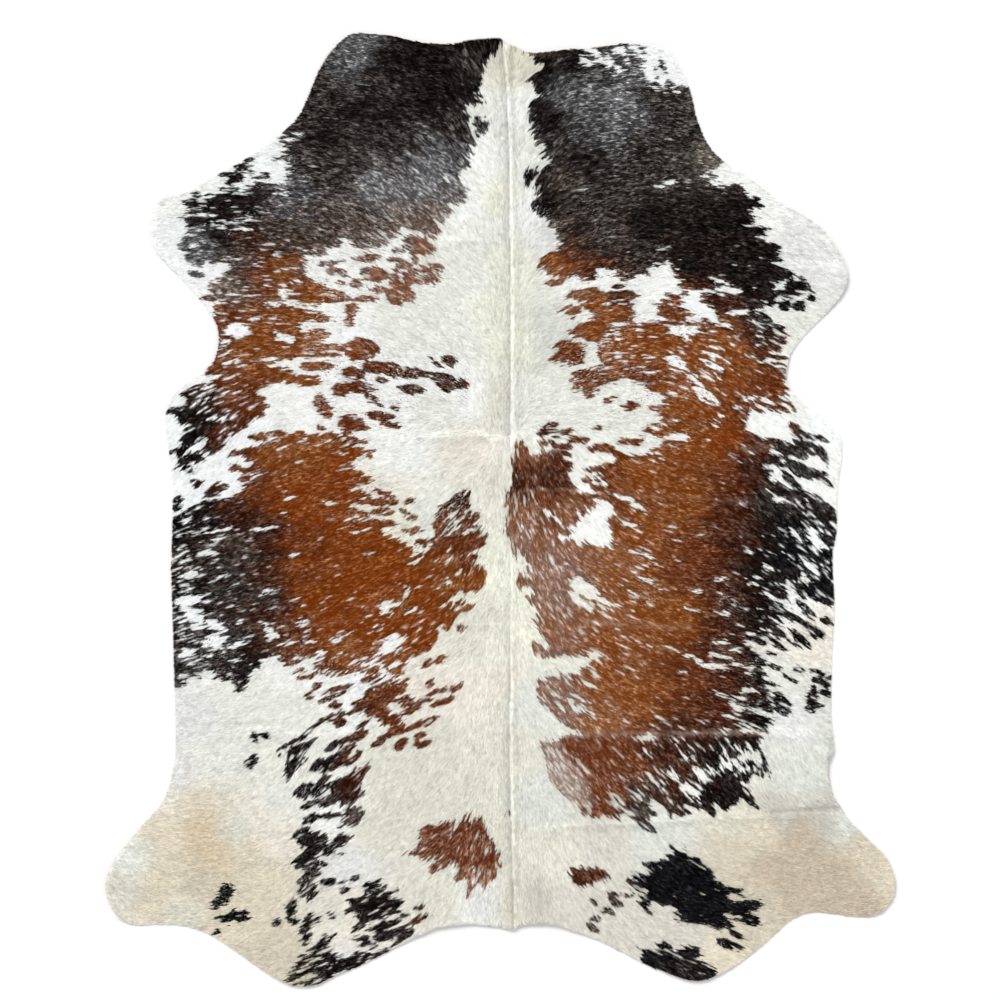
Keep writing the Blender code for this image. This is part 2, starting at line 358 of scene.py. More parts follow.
# %% [markdown]
# ## The dark patches
#
# The pattern is part of this hide, so its patches stand where the photograph shows them. Each big patch
# is drawn by its corners, in pixels. Small marks, and gaps in the patches, are strokes from one place
# to another with half a width. They become maps of depth: how many pixels a place lies inside the dark
# coat, or, below zero, outside it. Teeth and flecks come later from the streaks, so the outlines only
# carry the form.

# %% Big patches, by their corners
PATCHES = {
    "neck, left": (
        (503, 28), (503, 38), (504, 47), (498, 52), (492, 57), (487, 64), (483, 70), (481, 78),
        (480, 88), (475, 95), (473, 106), (465, 112), (473, 116), (468, 121), (472, 130), (475, 138),
        (479, 144), (473, 150), (473, 155), (469, 162), (470, 168), (465, 172), (458, 178), (464, 185),
        (468, 195), (471, 200), (460, 206), (450, 205), (455, 211), (450, 217), (443, 224), (434, 220),
        (440, 231), (434, 237), (424, 235), (412, 232), (403, 227), (400, 234), (392, 243), (383, 246),
        (370, 251), (357, 247), (346, 240), (338, 246), (325, 250), (312, 253), (303, 252), (296, 262),
        (260, 262), (240, 240), (236, 196), (262, 189), (275, 189), (284, 185), (285, 165), (282, 140),
        (290, 110), (320, 60), (340, 22),
    ),
    "shoulder, left": (
        (180, 200), (184, 205), (186, 213), (181, 220), (188, 228), (190, 233), (183, 240), (178, 245),
        (188, 251), (186, 257), (188, 264), (200, 266), (206, 262), (222, 262), (228, 268), (226, 275),
        (212, 280), (213, 290), (216, 296), (219, 305), (216, 318), (205, 325), (205, 345), (262, 330),
        (262, 303), (290, 300), (292, 283), (300, 281), (305, 279), (306, 255), (300, 215), (285, 196),
        (262, 192), (250, 189), (240, 190), (228, 192), (218, 193), (205, 198), (190, 198),
    ),
    "ginger lobe, left": (
        (288, 300), (291, 283), (300, 281), (305, 277), (312, 279), (318, 283), (324, 287), (338, 291),
        (345, 295), (352, 299), (356, 303), (340, 303), (318, 303), (295, 303),
    ),
    "ginger, left": (
        (250, 302), (262, 303), (275, 306), (283, 305), (305, 309), (318, 311), (328, 314), (334, 322),
        (322, 323), (309, 321), (301, 324), (300, 331), (307, 336), (312, 330), (320, 328), (328, 334),
        (322, 340), (330, 345), (340, 342), (344, 348), (335, 358), (318, 354), (300, 357), (285, 360),
        (275, 362), (272, 366), (292, 371), (303, 379), (318, 386), (300, 386), (285, 380), (265, 387),
        (258, 391), (250, 396), (228, 378), (205, 376), (205, 340), (215, 310),
    ),
    "upper flank, left": (
        (222, 374), (250, 388), (258, 392), (265, 402), (270, 408), (264, 412), (268, 417), (255, 417),
        (248, 427), (235, 433), (228, 441), (222, 450), (212, 453), (200, 452), (205, 460), (185, 464),
        (168, 472), (178, 462), (172, 450), (177, 447), (186, 432), (190, 424), (178, 419), (166, 412),
        (180, 407), (190, 400), (182, 394), (195, 388), (205, 385),
    ),
    "flank, left": (
        (160, 517), (173, 517), (190, 508), (205, 500), (228, 499), (240, 494), (248, 484), (262, 470),
        (250, 463), (240, 457), (224, 453), (240, 449), (258, 445), (275, 439), (298, 432), (305, 437),
        (330, 433), (345, 438), (362, 441), (370, 443), (360, 447), (372, 450), (358, 455), (370, 457),
        (352, 463), (362, 475), (378, 480), (362, 485), (352, 488), (370, 496), (365, 500), (352, 505),
        (372, 512), (355, 516), (390, 520), (383, 528), (385, 533), (405, 540), (413, 552), (408, 558),
        (420, 555), (430, 548), (437, 543), (434, 515), (440, 510), (445, 500), (455, 495), (463, 489),
        (472, 494), (468, 505), (480, 517), (475, 523), (487, 530), (488, 536), (482, 547), (470, 553),
        (480, 556), (474, 566), (488, 571), (485, 585), (480, 590), (463, 591), (450, 600), (463, 602),
        (457, 608), (460, 613), (455, 623), (450, 628), (440, 628), (440, 640), (430, 650), (412, 657),
        (408, 662), (405, 675), (392, 675), (378, 678), (355, 672), (345, 673), (335, 674), (325, 672),
        (312, 669), (322, 659), (308, 658), (298, 665), (290, 668), (281, 667), (278, 656), (268, 656),
        (260, 665), (254, 671), (246, 686), (238, 692), (230, 682), (217, 676), (208, 668), (203, 668),
        (200, 678), (182, 674), (190, 681), (185, 686), (176, 688), (160, 690),
    ),
    "flank foot, left": (
        (363, 690), (380, 683), (402, 679), (410, 683), (406, 697), (417, 699), (408, 703), (392, 702),
        (388, 708), (397, 716), (408, 724), (400, 731), (385, 735), (388, 726), (372, 718), (365, 712),
        (354, 712), (352, 704), (360, 697),
    ),
    "brown lobe": (
        (401, 244), (406, 236), (416, 235), (427, 242), (438, 251), (439, 257), (424, 257), (414, 263),
        (407, 250),
    ),
    "brown fork": (
        (405, 273), (412, 268), (425, 275), (432, 272), (440, 277), (442, 281), (425, 286), (412, 287),
        (418, 296), (412, 303), (400, 305), (390, 304), (386, 292), (378, 295), (372, 290), (388, 284),
        (388, 276), (396, 272), (404, 283),
    ),
    "black drop": (
        (282, 754), (290, 747), (300, 742), (304, 748), (306, 757), (302, 765), (295, 772), (289, 779),
        (286, 771), (283, 765), (288, 757),
    ),
    "brown drop": (
        (369, 762), (371, 767), (364, 776), (361, 782), (365, 788), (366, 795), (358, 800), (352, 806),
        (343, 809), (336, 805), (332, 798), (329, 790), (330, 782), (338, 777), (346, 773), (354, 768),
        (362, 765),
    ),
    "rump chain, upper": (
        (313, 788), (318, 781), (330, 777), (329, 786), (322, 795), (314, 797), (310, 793),
    ),
    "rump chain, grey": (
        (338, 812), (349, 804), (360, 806), (367, 813), (362, 821), (352, 828), (342, 824), (346, 817),
    ),
    "rump chain, middle": (
        (294, 833), (303, 826), (315, 830), (326, 835), (330, 842), (342, 834), (353, 834), (350, 842),
        (338, 848), (342, 854), (330, 858), (322, 853), (315, 858), (330, 862), (328, 868), (312, 868),
        (300, 868), (291, 862), (300, 854), (303, 845), (297, 840),
    ),
    "rump chain, lower": (
        (298, 880), (305, 872), (312, 868), (321, 871), (317, 880), (319, 890), (312, 899), (302, 898),
        (298, 892), (302, 884),
    ),
    "rump patch, left": (
        (345, 912), (352, 905), (350, 900), (358, 897), (365, 893), (358, 888), (365, 884), (372, 880),
        (379, 881), (384, 884), (381, 890), (388, 893), (398, 888), (396, 896), (405, 899), (400, 908),
        (406, 912), (398, 913), (390, 915), (380, 920), (370, 922), (362, 924), (356, 917),
    ),
    "thigh mark, left": (
        (211, 907), (214, 900), (220, 895), (221, 888), (224, 885), (237, 884), (235, 890), (232, 898),
        (227, 904), (218, 909),
    ),
    "thigh bar, left": (
        (219, 923), (221, 916), (226, 912), (233, 908), (238, 911), (246, 908), (253, 914), (249, 920),
        (241, 922), (236, 919), (228, 922),
    ),
    "rump hook": (
        (298, 937), (300, 929), (303, 921), (309, 916), (320, 914), (321, 922), (314, 925), (311, 931),
        (312, 935), (305, 939),
    ),
    "rump bar": (
        (308, 950), (317, 942), (326, 935), (334, 935), (330, 942), (333, 951), (326, 954), (316, 953),
    ),
    "rump edge, left": (
        (290, 972), (300, 960), (303, 955), (310, 954), (318, 960), (330, 957), (345, 962), (350, 956),
        (358, 950), (366, 952), (373, 956), (380, 950), (393, 946), (385, 962), (365, 975), (300, 992),
        (288, 984),
    ),
    "red patch": (
        (411, 852), (418, 845), (422, 837), (420, 830), (430, 825), (441, 822), (450, 820), (455, 827),
        (462, 823), (467, 817), (470, 823), (478, 820), (482, 817), (485, 825), (488, 833), (493, 840),
        (497, 848), (500, 857), (502, 867), (497, 870), (496, 878), (493, 886), (489, 879), (486, 888),
        (483, 889), (478, 880), (474, 889), (470, 896), (465, 889), (468, 880), (462, 874), (458, 880),
        (456, 877), (460, 867), (452, 865), (445, 866), (432, 872), (428, 869), (435, 861), (427, 858),
        (423, 852), (414, 855),
    ),
    "neck, right": (
        (522, 40), (522, 50), (530, 55), (533, 62), (540, 70), (527, 80), (533, 88), (540, 97),
        (530, 103), (528, 115), (530, 125), (533, 135), (539, 145), (543, 155), (547, 163), (538, 168),
        (526, 171), (521, 177), (526, 184), (532, 186), (537, 196), (528, 204), (531, 213), (545, 219),
        (555, 229), (555, 235), (562, 245), (556, 250), (541, 259), (536, 268), (550, 272), (560, 279),
        (573, 275), (590, 280), (600, 271), (612, 272), (625, 281), (640, 275), (648, 276), (655, 265),
        (668, 263), (677, 263), (672, 270), (682, 284), (697, 291), (702, 296), (706, 304), (720, 315),
        (742, 310), (760, 310), (770, 303), (798, 297), (812, 292), (808, 287), (800, 278), (783, 279),
        (795, 274), (772, 262), (780, 262), (781, 251), (774, 243), (760, 240), (767, 230), (749, 226),
        (753, 218), (750, 213), (761, 207), (760, 197), (748, 199), (740, 185), (727, 185), (716, 180),
        (712, 171), (724, 163), (722, 140), (705, 110), (700, 92), (690, 84), (686, 88), (677, 86),
        (668, 80), (664, 88), (655, 80), (650, 86), (643, 72), (640, 64), (646, 54), (640, 40),
        (600, 40),
    ),
    "ginger bar, right": (
        (558, 308), (570, 303), (582, 309), (574, 318), (560, 313),
    ),
    "ginger loaf, right": (
        (583, 305), (600, 301), (632, 305), (637, 310), (632, 322), (604, 324), (588, 314),
    ),
    "ginger knob, right": (
        (551, 360), (556, 351), (553, 345), (561, 341), (575, 341), (584, 347), (588, 353), (585, 361),
        (572, 365), (560, 363),
    ),
    "shoulder, right": (
        (565, 332), (580, 323), (598, 319), (610, 327), (636, 325), (655, 322), (662, 320), (655, 305),
        (668, 294), (684, 293), (680, 305), (694, 313), (690, 320), (712, 316), (735, 313), (752, 316),
        (757, 332), (757, 362), (770, 366), (787, 368), (786, 385), (790, 396), (783, 400), (770, 401),
        (760, 403), (764, 407), (779, 412), (764, 413), (750, 410), (743, 420), (700, 425), (668, 420),
        (655, 415), (668, 400), (655, 393), (642, 384), (622, 378), (605, 385), (603, 388), (588, 397),
        (575, 388), (569, 385), (570, 373), (588, 368), (597, 362), (596, 352), (597, 346), (575, 338),
    ),
    "back, right": (
        (668, 418), (743, 420), (748, 430), (758, 437), (769, 440), (770, 470), (768, 490), (775, 503),
        (800, 500), (822, 503), (832, 508), (840, 520), (840, 603), (826, 607), (816, 600), (800, 600),
        (785, 610), (780, 618), (776, 630), (765, 635), (758, 640), (750, 645), (762, 655), (766, 672),
        (778, 688), (760, 684), (772, 697), (772, 720), (766, 732), (745, 740), (560, 740), (580, 733),
        (575, 728), (562, 722), (550, 711), (539, 700), (538, 685), (550, 673), (575, 674), (577, 676),
        (588, 665), (603, 655), (590, 654), (572, 657), (555, 658), (550, 650), (543, 637), (535, 622),
        (538, 617), (535, 610), (525, 597), (535, 590), (520, 587), (514, 582), (520, 573), (533, 567),
        (525, 556), (514, 552), (507, 535), (504, 517), (506, 510), (505, 489), (513, 485), (511, 470),
        (513, 450), (516, 445), (530, 442), (530, 452), (550, 452), (572, 462), (570, 480), (580, 492),
        (598, 503), (588, 511), (572, 524), (566, 528), (574, 531), (560, 535), (558, 538), (572, 541),
        (586, 543), (600, 548), (612, 547), (613, 532), (606, 521), (617, 513), (612, 504), (604, 499),
        (590, 488), (605, 482), (600, 474), (585, 468), (617, 462), (612, 450), (635, 455), (655, 451),
        (663, 439), (642, 430), (650, 425),
    ),
    "rump, right": (
        (556, 739), (580, 733), (640, 735), (766, 730), (762, 745), (766, 760), (768, 776), (757, 773),
        (742, 783), (750, 790), (755, 798), (756, 807), (748, 803), (742, 800), (735, 803), (727, 809),
        (715, 805), (716, 813), (708, 812), (700, 806), (697, 815), (690, 812), (680, 818), (672, 814),
        (665, 820), (655, 812), (648, 818), (657, 835), (645, 829), (636, 824), (625, 816), (612, 818),
        (600, 816), (590, 819), (572, 803), (556, 790), (548, 775), (547, 760), (541, 743),
    ),
    "rump crown, right": (
        (624, 881), (630, 873), (643, 874), (650, 872), (643, 862), (652, 861), (664, 862), (668, 854),
        (672, 846), (680, 851), (687, 850), (690, 854), (698, 858), (706, 862), (713, 872), (718, 880),
        (722, 885), (735, 888), (745, 887), (743, 892), (747, 898), (738, 896), (730, 893), (733, 902),
        (745, 900), (752, 899), (758, 901), (757, 908), (752, 911), (758, 917), (760, 924), (752, 926),
        (745, 924), (738, 921), (732, 916), (727, 920), (735, 924), (728, 928), (720, 931), (712, 926),
        (702, 924), (690, 922), (680, 921), (678, 915), (672, 907), (664, 907), (655, 903), (650, 912),
        (645, 911), (638, 905), (636, 898), (640, 893), (632, 890),
    ),
    "brown seal": (
        (567, 869), (573, 866), (580, 869), (587, 866), (595, 866), (603, 870), (609, 877), (605, 880),
        (598, 879), (595, 885), (588, 886), (582, 888), (575, 886), (571, 880),
    ),
    "rump edge, right": (
        (639, 951), (650, 950), (660, 952), (668, 950), (676, 950), (680, 947), (688, 946), (698, 949),
        (702, 952), (697, 957), (703, 961), (716, 968), (718, 976), (705, 990), (676, 990), (650, 975),
        (640, 961),
    ),
}
print("corners in the big patches:", sum(len(corners) for corners in PATCHES.values()))

# %% Small marks and gaps, as strokes
STROKE_COLUMNS = ("column", "row", "to_column", "to_row", "half_width")
MARKS = (
    # neck and shoulder, left
    (470, 95, 483, 97, 1), (468, 102, 484, 103, 1.8), (476, 119, 484, 118, 1.8),
    (470, 128, 476, 127, 1.2), (474, 125, 486, 124, 3), (477, 131, 484, 130, 3.2),
    (476, 136, 479, 135, 1.6), (193, 194, 199, 194, 2), (209, 195, 214, 195, 2),
    (221, 175, 231, 175, 2.5), (237, 168, 249, 166, 3.5), (244, 159, 252, 159, 1.5),
    (228, 182, 240, 178, 4), (222, 190, 238, 190, 2.5), (246, 174, 253, 174, 1.5),
    (264, 173, 270, 173, 1.5), (254, 178, 268, 178, 1.5), (248, 186, 262, 186, 1.5),
    (274, 160, 290, 157, 2.5), (252, 190, 284, 191, 3), (256, 184, 276, 186, 2),
    (192, 274, 202, 276, 3.5), (204, 298, 215, 299, 3), (209, 370, 219, 371, 3.5),
    (306, 253, 325, 253, 2.5), (321, 264, 344, 262, 2.5), (331, 271, 346, 275, 4),
    (340, 285, 343, 285, 2.5), (353, 284, 361, 284, 3), (356, 258, 377, 258, 3.5),
    (367, 273, 382, 276, 7), (353, 305, 349, 321, 5.6), (303, 366, 329, 366, 4.4),
    (296, 380, 317, 381, 5), (300, 353, 338, 352, 4.5),
    # the brown chain beside the spine, left
    (395, 250, 404, 251, 2.5), (392, 260, 402, 260, 2.5), (400, 265, 413, 265, 4),
    (429, 267, 441, 268, 4), (416, 270, 431, 271, 3.6), (360, 299, 376, 299, 3.5),
    (354, 350, 370, 350, 10), (368, 366, 383, 368, 6), (387, 369, 398, 372, 6.5),
    (398, 373, 418, 373, 5), (420, 374, 432, 374, 2.5), (436, 378, 450, 379, 5),
    (447, 384, 463, 384, 4.5), (440, 384, 450, 388, 4), (430, 358, 433, 359, 1.8),
    (434, 362, 440, 366, 2.4), (447, 359, 453, 361, 4.2), (404, 388, 419, 391, 5),
    (372, 415, 390, 417, 4.5), (382, 420, 398, 427, 3.2), (392, 408, 398, 410, 2),
    (382, 380, 385, 380, 3), (346, 373, 359, 375, 6), (337, 389, 345, 390, 6),
    (345, 386, 372, 390, 4.5), (365, 393, 382, 405, 3), (320, 397, 320, 400, 4),
    (321, 402, 327, 413, 5.5), (318, 426, 324, 428, 2.6), (346, 424, 357, 424, 8),
    (361, 427, 365, 428, 3), (347, 434, 352, 435, 4),
    # flank, left
    (187, 468, 190, 468, 3), (193, 475, 196, 474, 2.5), (190, 480, 194, 480, 2),
    (195, 485, 198, 484, 2.5), (176, 500, 180, 499, 3), (175, 508, 180, 507, 3),
    (210, 493, 222, 487, 5), (234, 467, 240, 467, 3), (241, 470, 262, 470, 2.5),
    (243, 478, 247, 477, 3), (251, 437, 266, 437, 3), (269, 434, 285, 434, 3),
    (377, 491, 393, 497, 2.5), (371, 502, 395, 503, 3.4), (373, 512, 392, 512, 2.8),
    (376, 522, 396, 524, 3), (405, 502, 414, 501, 2.6), (402, 510, 412, 514, 3),
    (410, 519, 415, 518, 3), (401, 530, 420, 530, 3.5), (418, 541, 432, 541, 3.5),
    (465, 609, 470, 607, 3), (460, 628, 465, 625, 3),
    # flank foot, left
    (364, 680, 380, 678, 4), (427, 685, 431, 683, 3), (426, 664, 431, 662, 3),
    (438, 661, 444, 659, 3.5), (380, 737, 412, 728, 2.6), (402, 732, 424, 721, 2.6),
    (423, 723, 435, 718, 3.2), (398, 746, 405, 740, 3.8), (417, 736, 424, 734, 2.2),
    (418, 744, 427, 742, 2.6), (374, 745, 383, 740, 3), (357, 727, 370, 720, 1.5),
    (290, 671, 308, 670, 2.4), (300, 678, 314, 676, 2), (312, 675, 334, 672, 2),
    (334, 676, 352, 672, 1.4), (320, 668, 342, 664, 2), (316, 686, 320, 685, 2.5),
    (307, 697, 311, 696, 2.5), (326, 692, 352, 685, 2), (321, 701, 345, 691, 2),
    (331, 706, 337, 704, 3), (338, 723, 343, 722, 4), (403, 713, 420, 707, 2.6),
    (406, 705, 434, 698, 2), (428, 695, 446, 690, 1.8), (434, 705, 452, 699, 1.8),
    (446, 692, 462, 684, 1.8), (320, 720, 355, 711, 2), (300, 738, 332, 714, 1.8),
    (280, 748, 305, 737, 1.8), (301, 748, 314, 740, 3.2), (255, 733, 257, 741, 2.5),
    (262, 734, 269, 737, 2), (249, 765, 255, 758, 4.5), (328, 749, 351, 737, 3),
    (349, 740, 366, 732, 3.8), (342, 750, 352, 746, 3),
    # rump chain, left
    (313, 768, 322, 762, 3.8), (326, 767, 340, 757, 6.2), (340, 763, 355, 755, 6.2),
    (298, 792, 309, 786, 5), (303, 796, 306, 794, 2.5), (330, 785, 350, 785, 5.5),
    (324, 803, 332, 798, 4.5), (302, 807, 318, 801, 2.5), (306, 822, 317, 815, 3.5),
    (317, 817, 334, 815, 3), (334, 815, 346, 811, 1.5), (324, 882, 332, 881, 4.5),
    (338, 883, 346, 881, 1.2), (352, 878, 360, 876, 2.4), (340, 891, 347, 890, 2.5),
    (293, 901, 290, 908, 4), (290, 911, 294, 911, 2.5), (290, 919, 296, 921, 3),
    (276, 924, 279, 921, 3), (356, 929, 363, 924, 3), (370, 930, 396, 921, 4), (376, 938, 395, 932, 4),
    (395, 932, 408, 925, 2), (357, 938, 366, 938, 4), (362, 944, 377, 946, 3.5),
    (414, 908, 421, 907, 2), (412, 922, 426, 914, 3), (396, 941, 413, 930, 3.5),
    (402, 915, 406, 914, 2), (306, 942, 309, 941, 2), (214, 933, 220, 931, 2.5),
    (328, 914, 334, 915, 1.2), (332, 917, 337, 918, 1.2),
    # beside the spine, right
    (542, 432, 553, 426, 5), (563, 432, 569, 431, 2.5), (554, 436, 559, 435, 2.5),
    (571, 440, 587, 440, 3), (541, 442, 551, 442, 2.5), (554, 446, 572, 446, 2.5),
    (549, 453, 569, 454, 2.5), (328, 957, 352, 962, 4), (700, 862, 712, 872, 2.5),
    (676, 264, 688, 276, 3), (650, 257, 656, 266, 2), (757, 403, 790, 411, 2.6),
    (768, 398, 792, 404, 1.8), (312, 333, 324, 336, 3.2), (586, 470, 602, 468, 2.4),
    (596, 480, 612, 479, 2.2), (582, 480, 590, 480, 1.6), (590, 488, 608, 485, 2),
    (578, 495, 606, 497, 3), (598, 474, 606, 473, 1.6), (535, 645, 544, 654, 4.5),
    (545, 652, 553, 655, 3), (508, 811, 509, 814, 1.8),
    # shoulder, right
    (549, 283, 559, 283, 3), (571, 296, 582, 295, 5), (582, 300, 630, 301, 4.5),
    (587, 293, 599, 293, 5), (613, 287, 620, 287, 3), (610, 295, 631, 295, 4.5),
    (606, 402, 615, 399, 2), (625, 406, 634, 406, 4), (653, 408, 663, 408, 3),
    (618, 442, 631, 442, 2.5), (632, 443, 640, 443, 2.5), (591, 449, 611, 448, 4),
    (592, 428, 600, 428, 2.2), (660, 60, 662, 68, 1.5), (664, 72, 667, 76, 1.5),
    (655, 70, 657, 78, 1.2), (638, 48, 645, 50, 2), (809, 298, 812, 298, 3), (796, 306, 801, 306, 4.5),
    (782, 306, 786, 306, 4.5), (768, 303, 773, 303, 3), (752, 314, 766, 320, 5),
    (756, 326, 782, 328, 3), (760, 333, 784, 335, 3.4), (758, 340, 782, 342, 3.8),
    (758, 348, 776, 350, 3), (762, 356, 782, 358, 2.4), (766, 363, 784, 365, 1.8),
    (750, 352, 762, 356, 6),
    # flank edge, right
    (781, 397, 794, 409, 1.6), (793, 427, 803, 436, 5), (809, 435, 816, 439, 2),
    (819, 438, 824, 440, 2.5), (770, 443, 785, 447, 5), (785, 446, 803, 456, 5.5),
    (798, 443, 822, 452, 5), (822, 452, 826, 462, 3), (772, 458, 792, 464, 5), (790, 464, 803, 472, 6),
    (803, 472, 822, 475, 5), (820, 476, 830, 486, 2.5), (768, 484, 800, 500, 6),
    (785, 474, 800, 490, 4), (800, 492, 822, 503, 4), (822, 506, 832, 514, 5), (828, 514, 832, 530, 4),
    (821, 534, 827, 541, 3.5), (823, 553, 828, 565, 5), (800, 603, 813, 618, 3.5),
    (783, 612, 800, 621, 3), (798, 620, 822, 636, 4), (822, 618, 830, 623, 3), (793, 632, 806, 643, 4),
    (788, 640, 798, 645, 2.5), (811, 634, 816, 637, 2), (760, 622, 782, 634, 4.5),
    (757, 612, 778, 618, 3), (765, 636, 783, 648, 2.5), (756, 640, 764, 642, 2.5),
    (764, 652, 775, 656, 1.5), (770, 665, 780, 669, 1.8), (796, 670, 802, 669, 3),
    (786, 676, 796, 682, 1.4), (782, 674, 794, 681, 2), (812, 670, 822, 675, 3.4),
    (815, 678, 825, 684, 4), (823, 684, 830, 677, 3), (822, 691, 831, 695, 3.2),
    (813, 692, 811, 708, 5.4), (806, 708, 819, 706, 2.5), (778, 697, 784, 709, 7),
    # rump, right
    (592, 899, 597, 904, 2.5), (610, 897, 618, 904, 3.5), (614, 893, 625, 897, 2),
    (625, 897, 635, 894, 2), (603, 909, 611, 913, 3.2), (591, 919, 598, 918, 2),
    (589, 924, 595, 929, 2.8), (730, 931, 742, 937, 2.5), (721, 941, 729, 946, 5),
    (730, 943, 739, 948, 2.5), (662, 945, 668, 947, 3.2),
)
